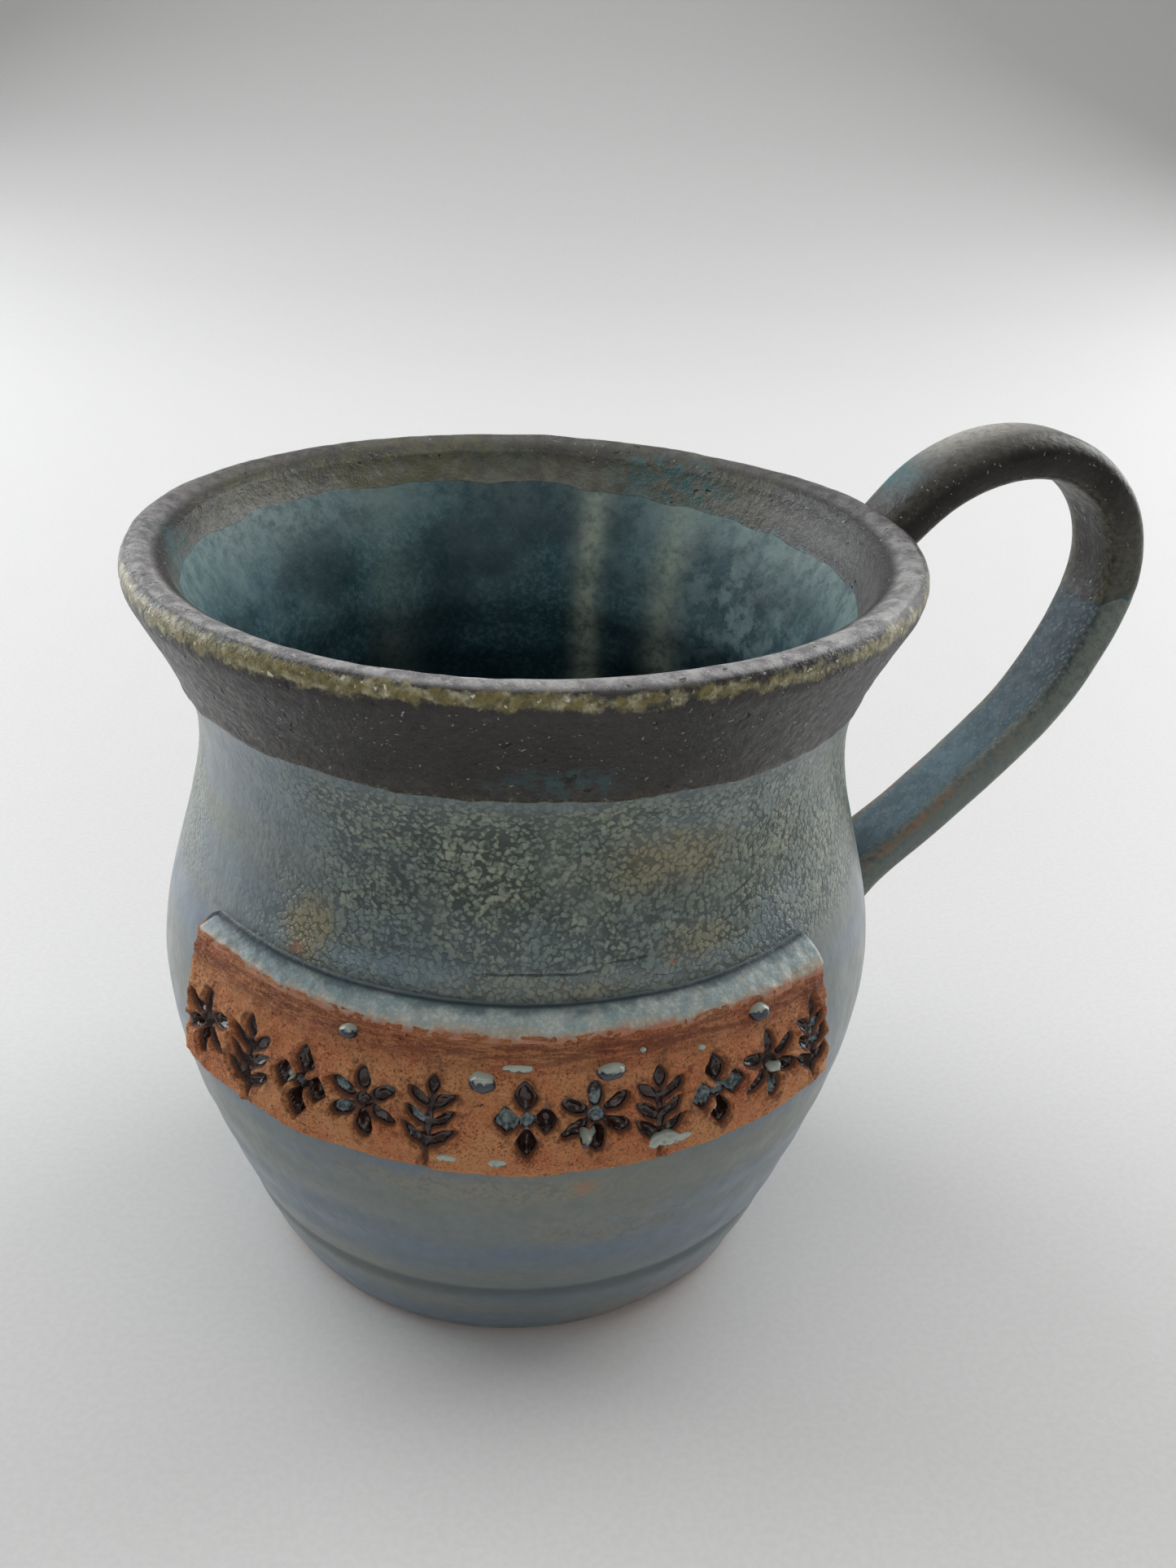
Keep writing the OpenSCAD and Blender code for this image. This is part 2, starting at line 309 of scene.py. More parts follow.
def grid_faces(columns, rows, ring, loop):
    """The quads of a grid of points. A ring joins its last column to its first, a loop its rows."""
    c = np.arange(columns if ring else columns - 1)[:, None]
    r = np.arange(rows if loop else rows - 1)[None, :]
    next_c, next_r = (c + 1) % columns, (r + 1) % rows
    corners = np.broadcast_arrays(c * rows + r, next_c * rows + r, next_c * rows + next_r, c * rows + next_r)
    return np.stack(corners, -1).reshape(-1, 4).tolist()


def tube_faces(columns, rows):
    """The faces of a tube, whose columns are its closed sections, with a cap over each end."""
    last = (columns - 1) * rows
    return grid_faces(columns, rows, False, True) + [list(range(rows))[::-1], list(range(last, last + rows))]


def coat(az, skin, back):
    """Points and faces of a coat of glaze all round the pot, from the lines of its two sides."""
    points = place(az, np.concatenate([skin, back], axis=1))
    return points, grid_faces(len(az), points.shape[1], True, True)


def add_piece(name, points, faces, material, nodes, fields=None, weld=False):
    """A smooth mesh that rides on the root body, stands for CAD nodes and carries named fields."""
    mesh = bpy.data.meshes.new(name)
    mesh.from_pydata((points.reshape(-1, 3) * MM).tolist(), [], faces)
    for field, values in (fields or {}).items():
        attribute = mesh.attributes.new(field, "FLOAT", "POINT")
        spread = np.broadcast_to(values, points.shape[:-1])
        attribute.data.foreach_set("value", np.ascontiguousarray(spread, np.float32).ravel())
    work = bmesh.new()
    work.from_mesh(mesh)
    if weld:
        bmesh.ops.remove_doubles(work, verts=work.verts, dist=1e-7)
    bmesh.ops.recalc_face_normals(work, faces=work.faces)
    work.to_mesh(mesh)
    work.free()
    mesh.shade_smooth()
    mesh.materials.append(material)
    piece = add_object(name, mesh)
    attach(piece, "root")
    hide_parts(*nodes)


def patches(points, ovals, soft, ragged=0.35, seed=0):
    """The strongest of several ragged ovals on the wall: direction, height, width, height and strength."""
    direction = np.degrees(np.arctan2(points[..., 1], points[..., 0]))
    result = np.zeros(direction.shape)
    for i, (az, z, width, height, strength) in enumerate(ovals):
        across = np.radians(turn_between(direction, az)) * np.hypot(points[..., 0], points[..., 1])
        d = np.hypot(2 * across / width, 2 * (points[..., 2] - z) / height)
        d = d + ragged * noise(points, 0.4 * min(width, height), seed + i, 2)
        result = np.maximum(result, strength * smooth((1 + soft - d) / (2 * soft)))
    return result


def front_only(values, rows):
    """Values on a piece's front, with 0 on its rows behind."""
    return np.pad(values, ((0, 0), (0, rows)))


# ---- the vessel and its three coats ----

COLUMNS, BODY_COLUMNS = 480, 320
FOOT_BEVEL = 1.9
# The wire that cut the pot from the wheel swung round a point beside it.
WIRE_CENTRE, WIRE_PITCH, WIRE_MARK = (-9, -30), 2.3, 0.07
# How far the dark glaze stands up over the thrown outside, and how far a coat's back starts from its edge.
PROUD, BACK_INSET = 0.28, 0.6
LIP_ROWS = 30


def directions(count):
    return np.linspace(-180, 180, count, endpoint=False)[:, None]


def floor_line(columns, depth):
    """The wide fillet inside and the flat floor, at some depth under the glazed surface."""
    top = under(np.array(FILLET_Z), WALL)
    angle = float(lean(FILLET_Z))
    r = (top[1] - FLOOR) / (1 - math.sin(angle))
    centre = (top[0] - r * math.cos(angle), top[1] + r * math.sin(angle))
    fillet = arc_line(columns, centre, r + depth, -math.degrees(angle), -90, 18)
    reach = np.linspace(centre[0], 0, 10)
    return join_lines(fillet, constant(columns, np.stack([reach, np.full_like(reach, FLOOR - depth)], -1)))


def thrown_body(material):
    az = directions(BODY_COLUMNS)
    n = BODY_COLUMNS
    flat = FOOT_R - FOOT_BEVEL
    base = np.broadcast_to(np.linspace(0, flat, 42), (n, 42))
    a = np.radians(az)
    wire = np.hypot(base * np.cos(a) - WIRE_CENTRE[0], base * np.sin(a) - WIRE_CENTRE[1])
    marks = WIRE_MARK * (1 - np.cos(2 * math.pi * wire / WIRE_PITCH)) * smooth((flat - 0.2 - base) / 3)
    foot = constant(n, [(FOOT_R - 1.0, 0.2), (FOOT_R - 0.35, 0.6)])
    outside_z = np.broadcast_to(np.linspace(0.9, FLARE_TOP, 120), (n, 120))
    outside = under(outside_z, clay_depth(outside_z))
    lip = arc_line(n, BEAD, BEAD_R - GLAZE, -FLARE_TURN, 180 - FLARE_TURN, 12)
    inside = under(np.broadcast_to(np.linspace(FLARE_TOP, FILLET_Z, 46), (n, 46)), WALL - GLAZE)
    up_to_flare = np.concatenate([np.stack([base, marks], -1), foot, outside], axis=1)
    points = place(az, join_lines(up_to_flare, lip, inside, floor_line(n, GLAZE)))
    faces = grid_faces(n, points.shape[1], True, False)
    add_piece("thrown_body", points, faces, material, ["mug_body"], weld=True)


def body_relief(az, z):
    """What the potter's fingers left on the outside, in millimetres outwards."""
    points = wall(az, z)
    rings = 0.045 * np.sin(2 * math.pi * (z / 6.1 + az / 360) + 1.5 * noise(points, 25, 23))
    groove = -0.42 * bump(z, GROOVE_Z + 0.3 * ring_noise(az, 20, 7), 0.9)
    at_strip = -0.10 * bump(z, strip_high(az) + 0.3, 0.22) + 0.12 * bump(z, strip_high(az) - 0.9, 0.9)
    return (rings * smooth((36 - z) / 8) + groove + near_strip(az) * at_strip
            + 0.12 * noise(points, 14, 21) + 0.04 * noise(points, 3, 22))


def body_glaze(material):
    az = directions(COLUMNS)
    z = edged(foot_edge(az), dip_edge(az) + 1.6, 146)
    skin = under(z, GLAZE * (1 - swell(z - z[:, :1], 0.7)) - body_relief(az, z))
    back_start = z[:, :1] + BACK_INSET
    back_z = back_start + np.linspace(1, 0, 36) * (z[:, -1:] - 0.3 - back_start)
    points, faces = coat(az, skin, under(back_z, clay_depth(back_z)))
    height = points[..., 2]
    # The islands fade on the left side, under the painted reflection laid there.
    sheen_fade = patches(points, [(-142, 68, 24, 34, 1)], soft=0.6, seed=9)
    fields = {
        "ochre": patches(points, [
            (-123, 60.8, 6, 7, 0.9), (-66, 71, 16, 6, 0.75), (-84, 58.5, 22, 2.6, 0.5),
            (-62, 60.5, 9, 5, 0.5), (-95, 33, 34, 4, 0.5), (-74, 25, 22, 5, 0.4)], soft=0.6),
        "rust": patches(points, [
            (-79.8, 33.3, 2.6, 2.2, 0.8), (-124.5, 58.2, 1.6, 1.3, 1.0), (-66.5, 59.5, 0.9, 0.7, 1.0),
            (-55, 2.5, 26, 3.4, 0.4)], soft=0.5),
        "foot": smooth(1 - (height - foot_edge(az)) / 2.2),
        # Painted shade in the potter's groove.
        "groove": bump(height, GROOVE_Z, 1.1),
        "islands": smooth((height - 54) / 6) * (0.25 + 0.75 * smooth((79.5 - height) / 3))
                   * (1 - 0.85 * sheen_fade),
        # Paler patches: partly paler glaze, partly painted light, a painted reflection on the left side and a
        # painted highlight just above the strip's crease.
        "pale": patches(points, [
            (-141, 61, 3, 12, 0.5), (-44, 60, 9, 8, 0.5), (-58, 75, 20, 6, 0.5), (-131, 72, 26, 13, 0.3),
            (-92, 59.0, 66, 2.6, 1.0), (-92, 62, 46, 7, 0.35), (-118, 76.5, 30, 4, 0.3)], soft=0.7),
        "blue": patches(points, [(-112, 60.5, 22, 5, 0.6), (-128, 66, 10, 16, 0.5), (-62, 66, 9, 10, 0.35)],
                        soft=0.8),
        # A dark line of painted shade in the crease above the strip.
        "crease": front_only(near_strip(az) * bump(z, strip_high(az) + 0.3, 0.13), back_z.shape[1]),
    }
    add_piece("body_glaze", points, faces, material, ["outer_glaze"], fields)


def lip_line(az):
    """The lip, whose outer corner the potter's sponge left sharper than its inner one."""
    turn = np.linspace(-FLARE_TURN, 180 - FLARE_TURN, LIP_ROWS)[None, :]
    a = np.radians(turn)
    around = np.stack([np.cos(a), np.sin(a)], -1)
    at = place(az, np.array(BEAD) + BEAD_R * around)
    fading = dome((turn + FLARE_TURN) / 30) * dome((180 - FLARE_TURN - turn) / 30)
    uneven = (0.10 * noise(at, 6, 34) + 0.06 * noise(at, 1.6, 35, 2)) * fading
    r = BEAD_R + PROUD + 0.34 * bump(turn, 40, 24) - 0.46 * bump(turn, 118, 36) + uneven
    return np.array(BEAD) + r[..., None] * around


def rim_glaze_coat(material):
    az = directions(COLUMNS)
    flare_top = np.full_like(az, FLARE_TOP)
    out_z = edged(dip_edge(az), flare_top, 26)
    rough = 0.07 * noise(wall(az, out_z), 2.0, 31, 2) + 0.08 * noise(wall(az, out_z), 9, 32)
    outside = under(out_z, -PROUD * swell(out_z - out_z[:, :1], 0.75) - rough * dome((FLARE_TOP - out_z) / 2))
    in_z = edged(inner_dip_edge(az), flare_top, 12)
    thick = 0.07 * smooth((in_z - in_z[:, :1]) / 2) + (PROUD - 0.07) * smooth((in_z - FLARE_TOP + 2.5) / 2.5)
    skin = join_lines(outside, lip_line(az), under(in_z, WALL + thick)[:, ::-1])
    inner_start, outer_start = in_z[:, :1] + BACK_INSET, out_z[:, :1] + BACK_INSET
    inner_back = under(inner_start + np.linspace(0, 1, 5) * (FLARE_TOP - inner_start), WALL - GLAZE)
    lip_back = arc_line(COLUMNS, BEAD, BEAD_R - GLAZE, 180 - FLARE_TURN, -FLARE_TURN, 10)
    outer_back = under(outer_start + np.linspace(1, 0, 9) * (FLARE_TOP - outer_start), GLAZE)
    points, faces = coat(az, skin, join_lines(inner_back, lip_back, outer_back))
    z = points[..., 2]
    outward = np.hypot(points[..., 0], points[..., 1]) - BEAD[0]
    round_lip = np.degrees(np.arctan2(z - BEAD[1], outward))
    row = np.arange(points.shape[1])
    on_outside = row < outside.shape[1]
    on_inside = (row > outside.shape[1] + LIP_ROWS // 2) & (row < skin.shape[1])
    above_dip = z - dip_edge(az)
    # More of the lip's painted highlight on the near side of the pot.
    near_side = 0.25 + 0.75 * smooth(0.55 - points[..., 1] / 60)
    fields = {
        "crest": bump(round_lip, 22, 19) * (np.hypot(outward, z - BEAD[1]) < 4)
                 * (0.8 + 0.4 * ring_noise(az, 14, 33, 2)),
        # Pale lavender over the lip top: partly the dark glaze thinning, partly a painted highlight.
        "lip_top_sheen": smooth((round_lip - 38) / 24) * smooth((140 - round_lip) / 44) * (outward < 1.9)
                   * smooth((z - BEAD[1] + 4) / 5) * near_side,
        # Painted shade on the lip's inner slope, at the right side and more faintly at the left.
        "inside_shade": bump_at(az, 12, 42) + 0.5 * bump_at(az, 176, 36),
        "inside": on_inside * smooth((HEIGHT - 1 - z) / 2.5),
        "inner_edge": on_inside * smooth(1 - (z - inner_dip_edge(az) - 0.8) / 3.2),
        "edge": on_outside * smooth(1 - above_dip / 0.9),
        "above_edge": on_outside * smooth((3.6 - above_dip) / 2.4),
        "teal": patches(points, [(-176, 91, 9, 4, 1.0), (-168, 88, 6, 3, 0.7), (62, 90.5, 15, 4.5, 0.9),
                                 (-83.7, 82.2, 13, 3.4, 0.5), (96, 91.5, 9, 2.5, 0.3)], soft=0.7, ragged=0.6),
        "olive": patches(points, [(112, 90.5, 34, 7, 0.9), (150, 92, 20, 5, 0.6), (60, 91, 30, 6, 0.5)],
                         soft=0.7, ragged=0.6),
    }
    add_piece("rim_glaze_coat", points, faces, material, ["rim_glaze"], fields)


def liner_glaze_coat(material):
    az = directions(COLUMNS)
    top = inner_dip_edge(az)
    z = top + 1.5 + np.linspace(0, 1, 110) * (FILLET_Z - top - 1.5)
    rings = 0.13 * np.sin(2 * math.pi * (z / 6.3 - az / 360)) * smooth((84 - z) / 10) * smooth((z - 18) / 6)
    skin = under(z, WALL + rings + 0.1 * noise(wall(az, z), 11, 41) * smooth((z[:, :1] - z) / 6))
    points, faces = coat(az, join_lines(skin, floor_line(COLUMNS, 0)),
                         join_lines(floor_line(COLUMNS, GLAZE)[:, ::-1], under(z[:, ::-3], WALL - GLAZE)))
    height = points[..., 2]
    streaks = 0.9 * bump_at(az, 76, 3.0) + 0.7 * bump_at(az, 57, 4.5) + 0.2 * bump_at(az, 122, 6)
    fields = {
        # Painted shade: 0 high in the cup, 1 towards its floor.
        "depth": smooth((92 - height) / 50),
        "top": smooth((height - top + 5.5) / 7) * (1 - 0.7 * bump_at(az, 92, 32)),
        "streak": smooth((height - 22) / 34) * streaks,
        "haze": smooth((height - 58) / 22) * (bump_at(az, 34, 24) + 0.15 * bump_at(az, 158, 18)),
    }
    add_piece("liner_glaze_coat", points, faces, material, ["liner_glaze"], fields)


# ---- the pulled handle, its pads and its coats ----

HANDLE_AZ = 17.0
STRAP_START, STRAP_HEADING = np.array([38.2, 83.5]), 12.5
# Radius of each bend and how far it turns downwards; both are negative where it turns up.
BENDS = [(-9, -40), (70, 9), (21, 49.5), (16, 101.5), (48, 28.5), (210, 9)]
DARK_BENDS = 4
STRAP_W, STRAP_T = (10.8, 10.4), (6.2, 3.8)
ROUNDNESS = 0.6
PATH_STEP = 0.5
SECTION, STRAP_ROWS, DARK_ROWS, BLUE_ROWS = 72, 150, 150, 110
# How far the coats stay from the strap's ends, and how far the blue one runs up under the dark one.
STRAP_INSET, COAT_OVERLAP, DARK_PROUD = 0.3, 6, 0.07
UPPER_PAD, LOWER_PAD = (41.8, 85.0), (43.0, 40.5)
UPPER_HALF, LOWER_HALF = (3.0, 3.5, 2.8), (4.4, 5.2, 4.4)
PAD_COLUMNS, PAD_ROWS = 64, 40


def sideways(heading):
    h = np.radians(heading)
    return np.stack([np.sin(h), -np.cos(h)], -1)


def strap_path():
    """Distance, radius, height and heading along the strap, and the distance where each bend ends."""
    start, heading, travelled = STRAP_START, STRAP_HEADING, 0.0
    stretches, ends = [], []
    for radius, turn in BENDS:
        length = abs(radius) * math.radians(abs(turn))
        share = np.linspace(0, 1, max(3, round(length / PATH_STEP)))
        turned = heading - share * turn
        points = start + radius * (sideways(heading) - sideways(turned))
        stretches.append(np.column_stack([travelled + share * length, points, turned]))
        start, heading, travelled = points[-1], heading - turn, travelled + length
        ends.append(travelled)
    return np.concatenate([stretch[:-1] for stretch in stretches] + [stretches[-1][-1:]]).T, ends


(PATH_S, PATH_R, PATH_Z, PATH_HEADING), BEND_ENDS = strap_path()
PATH_GAP = np.clip(PATH_R - outer(np.clip(PATH_Z, 0, FLARE_TOP)), 0, None)
PATH = (PATH_R, PATH_Z, PATH_HEADING, np.exp(-PATH_GAP / 2.6), np.exp(-PATH_GAP / 9))
STRAP_LENGTH, DARK_END = PATH_S[-1], BEND_ENDS[DARK_BENDS - 1]


def at_handle(r, across, z):
    """Points in the handle's direction. Any in the cup or deep in its wall move out to the wall's middle."""
    a = math.radians(HANDLE_AZ)
    points = np.stack([r * math.cos(a) - across * math.sin(a), r * math.sin(a) + across * math.cos(a), z], -1)
    reach = np.hypot(points[..., 0], points[..., 1])
    least = outer(np.clip(z, 0, FLARE_TOP)) - 2.4
    scale = np.where((reach < least) & (z < HEIGHT), least / np.maximum(reach, 1e-6), 1.0)
    return points * np.stack([scale, scale, np.ones_like(scale)], -1)


def squared(x, power):
    return np.sign(x) * np.abs(x) ** power


def strap_points(s, angle, grow):
    """Points of the strap's surface at a distance along it and an angle round its section."""
    s, angle, grow = np.broadcast_arrays(s, angle, grow)
    radius, height, heading, spread, waist = (np.interp(s, PATH_S, values) for values in PATH)
    share = s / STRAP_LENGTH
    upper = smooth(1 - share / 0.45)
    waist, flare = waist * upper, spread * (1 - upper)
    half_t = (STRAP_T[0] + (STRAP_T[1] - STRAP_T[0]) * share) / 2 * (1 - 0.10 * waist) + 1.3 * flare
    half_w = (STRAP_W[0] + (STRAP_W[1] - STRAP_W[0]) * share) / 2 * (1 - 0.26 * waist) + 1.7 * flare
    c, d = np.cos(angle), np.sin(angle)
    t, w = squared(c, ROUNDNESS + 0.28 * upper), squared(d, ROUNDNESS + 0.28 * upper)
    dish = 0.28 * np.clip(1 - w * w, 0, 1) * (1 - spread) * (1 - 0.8 * upper)
    t = (half_t - dish) * t + grow * c
    w = half_w * w + grow * d
    rough = np.stack([radius + 3 * t, w * 2, height], -1)
    t = t + 0.16 * noise(rough, 9, 51) * c
    w = w + (0.22 * noise(rough, 12, 52) + 0.08 * noise(rough, 4, 53)) * d
    across = sideways(heading)
    return at_handle(radius + t * across[..., 0], w, height + t * across[..., 1])


def section_angles():
    return np.linspace(0, 2 * math.pi, SECTION, endpoint=False)[:, None]


def pulled_handle(material):
    rows = STRAP_ROWS
    points = strap_points(np.linspace(0, STRAP_LENGTH, rows)[None, :], section_angles(), 0.0)
    caps = [[c * rows for c in range(SECTION)][::-1], [c * rows + rows - 1 for c in range(SECTION)]]
    faces = grid_faces(SECTION, rows, True, False) + caps
    add_piece("pulled_handle", points, faces, material, ["handle"])


def coat_edge(angle):
    """How far down the strap the dark glaze runs, round its section."""
    round_it = np.stack([8 * np.cos(angle), 8 * np.sin(angle), np.zeros_like(angle)], -1)
    return DARK_END + 2.0 * noise(round_it, 6, 54) + 0.6 * noise(round_it, 2, 55) + 2.5 * np.cos(angle)


def strap_coat(name, start, end, rows, proud, material, node):
    """A coat of glaze round the strap between two distances along it. A proud one thins to its free end."""
    angle = section_angles()
    s, inner = (np.broadcast_to(start + share * (end - start), (SECTION, len(share)))
                for share in (np.linspace(0, 1, rows), np.linspace(0.99, 0.01, rows // 2)))
    full = dome(np.abs(s - coat_edge(angle)) / 2.0) if proud else 1.0
    skin = strap_points(s, angle, GLAZE + proud * full - (GLAZE + 0.05) * (1 - full))
    points = np.concatenate([skin, strap_points(inner, angle, -0.1)], axis=1)
    distance = np.concatenate([s, inner], axis=1)
    along = distance / STRAP_LENGTH
    round_it = np.degrees(angle)
    ridge = bump(np.abs(turn_between(round_it, 0)), 52, 11)
    worn = bump(along, 0.815, 0.014) + bump(along, 0.86, 0.018) + 0.6 * bump(along, 0.905, 0.02)
    fields = {
        "along": along,
        "corner": np.abs(np.sin(2 * angle)) ** 1.5,
        "side": smooth((np.abs(np.sin(angle)) - 0.72) / 0.2),
        # A painted highlight on the top of the arch.
        "sheen": bump_at(round_it, 155, 40) * bump(along, 0.24, 0.09),
        "teal": bump_at(round_it, 145, 42) * bump(along, 0.15, 0.024),
        "rust": ridge * worn,
        "edge": smooth(1 - np.abs(distance - coat_edge(angle)) / 3.5),
    }
    add_piece(name, points, grid_faces(SECTION, points.shape[1], True, True), material, [node], fields)


def pad(name, centre, half, seed, material, node):
    """A pressed ball of luting clay under an end of the strap."""
    u = np.radians(np.linspace(-90, 90, PAD_ROWS))[None, :]
    a = np.radians(np.linspace(0, 360, PAD_COLUMNS, endpoint=False))[:, None]
    unit = np.stack([np.cos(u) * np.cos(a), np.cos(u) * np.sin(a), np.sin(u) * np.ones_like(a)], -1)
    ball = unit * np.array(half) * (1 + 0.05 * noise(unit, 0.6, seed, 2))[..., None]
    points = at_handle(ball[..., 0] + centre[0], ball[..., 1], ball[..., 2] + centre[1])
    faces = grid_faces(PAD_COLUMNS, PAD_ROWS, True, False)
    add_piece(name, points, faces, material, [node], weld=True)


# ---- the stamped strip ----

STRIP_AZ, STRIP_SPAN = -91.5, 103.0
STRIP_T, STRIP_CORNER = 2.7, 1.0
# The bevel's share of the strip's full height at the crease.
BEVEL_FOOT = 0.16
STRIP_STEP, STRIP_TALL, STRIP_BACK_ROWS = 0.165, 19.0, 5
STAMP_DEPTH, STAMP_SCALE, STAMP_REACH = 1.6, 1.12, 6.5
STAMP_COUNT, LEFT_GROUP = 11, 5
FIRST_STAMP_AZ, STAMP_PITCH, STAMP_GAP = -136.8, 8.9, 3.6
STAMP_LOW, STAMP_RISE = 44.8, 2.4
EDGE_COLUMNS, EDGE_ROWS = 620, 36
DROP_RINGS, DROP_SPOKES = 14, 40
# Direction and height of each drop on the strip, its half width and half height, and how far it stands up.
DROPS = [
    (-112.3, 52.6, 1.0, 0.85, 1.0), (-94.2, 49.4, 1.35, 1.15, 1.2), (-77.7, 50.2, 1.5, 0.9, 1.05),
    (-73.3, 51.9, 0.35, 0.35, 0.35), (-64.9, 50.8, 0.45, 0.35, 0.35), (-55.4, 52.6, 1.25, 0.95, 1.15),
    (-98.6, 40.6, 1.1, 0.5, 0.22), (-92, 40.3, 1.0, 0.55, 0.2), (-69.6, 41.2, 2.6, 0.75, 0.22),
    (-80.4, 42.9, 0.95, 0.95, 1.1), (-89.6, 50.9, 1.7, 0.5, 0.3), (-121, 45.4, 0.55, 0.5, 0.35),
    (-62.6, 43.6, 0.5, 0.45, 0.35), (-52.2, 45.2, 1.1, 0.5, 0.4),
]


def strip_share(az):
    """-1 at the strip's left end, 1 at its right end."""
    return turn_between(az, STRIP_AZ) / (STRIP_SPAN / 2)


def strip_low(az):
    return 37.6 + 2.6 * strip_share(az) ** 2 + 0.25 * ring_noise(az, 6, 11) + 0.15 * ring_noise(az, 1.8, 12)


def strip_high(az):
    return 56.5 + 0.7 * strip_share(az) ** 2 + 0.2 * ring_noise(az, 9, 13)


def near_strip(az):
    return smooth((1.06 - np.abs(strip_share(az))) / 0.08)


def bevel_width(az):
    """How far down the strip its upper bevel reaches: least at the left end, furthest at the right."""
    u = strip_share(az)
    wander = 0.3 * ring_noise(az, 7, 91) + 0.15 * ring_noise(az, 1.6, 92)
    return 2.4 + wander - 0.9 * smooth((-u - 0.2) / 0.6) + 1.1 * smooth((u - 0.6) / 0.4)


def turned(x, y, tilt):
    """A place as it reads on axes tilted by an angle."""
    t = math.radians(tilt)
    return x * math.cos(t) + y * math.sin(t), y * math.cos(t) - x * math.sin(t)


def oval(x, y, cx, cy, a, b, tilt=0.0, power=2.0):
    """Rough distance outside an oval, or a pointed seed where power is near 1."""
    u, v = turned(x - cx, y - cy, tilt)
    return ((np.abs(u / a) ** power + np.abs(v / b) ** power) ** (1 / power) - 1) * min(a, b)


def joined(a, b, reach=0.22):
    """The nearer of two distances, with the corner between them rounded as pressed clay is."""
    share = np.clip(0.5 + 0.5 * (b - a) / reach, 0, 1)
    return b * (1 - share) + a * share - reach * share * (1 - share)


def rosette(x, y):
    d = oval(x, y, 0, 0, 0.8, 0.8)
    for turn in range(30, 390, 60):
        a = math.radians(turn)
        d = joined(d, oval(x, y, 2.2 * math.cos(a), 2.2 * math.sin(a), 1.3, 0.72, turn))
    return d


def grain_ear(x, y):
    d = oval(x, y, 0, 2.8, 0.7, 1.2, 0, 1.5)
    for row, hand in product((-2.4, -0.5, 1.4), (-1, 1)):
        d = joined(d, oval(x, y, hand * 1.15, row, 0.58, 1.5, -48 * hand, 1.6))
    return joined(d, oval(x, y, 0, -1.0, 0.32, 3.0))


def lattice_motif(x, y):
    d = oval(x, y, 0, 0, 0.7, 0.7)
    for hand in (-1, 1):
        d = joined(d, oval(x, y, hand * 1.75, 0, 1.05, 1.35, 0, 1.25))
        d = joined(d, oval(x, y, 0, hand * 2.3, 1.0, 1.5, 0, 1.25))
    return d


MOTIFS = (rosette, grain_ear, lattice_motif)


def stamps(az, z, points):
    """Distance outside the nearest impression, and how deep that one goes."""
    near, deep = np.full(az.shape, 9.0), np.full(az.shape, STAMP_DEPTH)
    for i in range(STAMP_COUNT):
        middle = FIRST_STAMP_AZ + i * STAMP_PITCH + (0 if i < LEFT_GROUP else STAMP_GAP)
        u = strip_share(middle)
        shift = 2 * scatter(i, 3, 1, 61) - 1
        tilt = 7 * u + 5 * (2 * scatter(i, 5, 2, 62) - 1)
        stamp_az, stamp_z = middle + 0.3 * shift, STAMP_LOW + STAMP_RISE * u * u + 0.35 * shift
        x, y = np.radians(az - stamp_az) * outer(stamp_z), z - stamp_z
        cells = np.hypot(x, y) < STAMP_REACH
        across, up = turned(x[cells], y[cells], tilt)
        wander = noise(points[cells], 1.3, 63 + i)
        motif = MOTIFS[i % len(MOTIFS)]
        d = motif(across / STAMP_SCALE + 0.16 * wander, up / STAMP_SCALE - 0.14 * wander) * STAMP_SCALE
        d = d + 0.08 * noise(points[cells], 0.8, 64)
        depth = STAMP_DEPTH * (0.85 + 0.35 * scatter(i, 1, 1, 65)) * (1 - 0.07 * up)
        closer = d < near[cells]
        near[cells] = np.where(closer, d, near[cells])
        deep[cells] = np.where(closer, depth, deep[cells])
    return near, deep


def strip_height(az, z):
    """The strip's height over the wall, distance outside its stamps, distance inside its edge, and cut."""
    az, z = np.broadcast_arrays(az, z)
    points = wall(az, z)
    ends = 0.35 * noise(points, 4, 71) + 0.12 * noise(points, 1.1, 72)
    to_end = np.radians(STRIP_SPAN / 2 - np.abs(turn_between(az, STRIP_AZ))) * outer(z) + ends
    to_low, to_high = z - strip_low(az), strip_high(az) - z
    to_side = np.minimum(to_low, to_high)
    rounded = STRIP_CORNER - np.hypot(STRIP_CORNER - to_end, STRIP_CORNER - to_side)
    in_corner = (to_end < STRIP_CORNER) & (to_side < STRIP_CORNER)
    to_edge = np.where(in_corner, rounded, np.minimum(to_end, to_side))
    bevel = 1 - (1 - BEVEL_FOOT) * (1 - np.clip(to_high / bevel_width(az), 0, 1)) ** 1.4
    body = dome(np.minimum(to_end, to_low) / 1.4) * bevel * STRIP_T + 0.16 * noise(points, 9, 73)
    drag = noise(points * np.array([0.22, 0.22, 1.0]), 0.9, 74)
    body = body + (0.06 + 0.12 * smooth((z - 48) / 5)) * drag
    grog = np.clip(noise(points, 1.2, 75, 2), -1, 0.5) * 0.2 + 0.09 * noise(points, 0.5, 76)
    near, deep = stamps(az, z, points)
    cut = deep * smooth(0.5 - near / 0.85)
    height = body + (grog + 0.16 * bump(near, 0.45, 0.32)) * smooth(to_edge / 0.8) - cut
    return np.where(to_edge < 0, -0.35, np.maximum(height, -0.35)), near, to_edge, cut


def softened(grid, times):
    """A grid of numbers, each moved towards its neighbours a number of times."""
    for _ in range(times):
        near = grid[:-2, 1:-1] + grid[2:, 1:-1] + grid[1:-1, :-2] + grid[1:-1, 2:]
        grid = grid.copy()
        grid[1:-1, 1:-1] = (2 * grid[1:-1, 1:-1] + near) / 6
    return grid


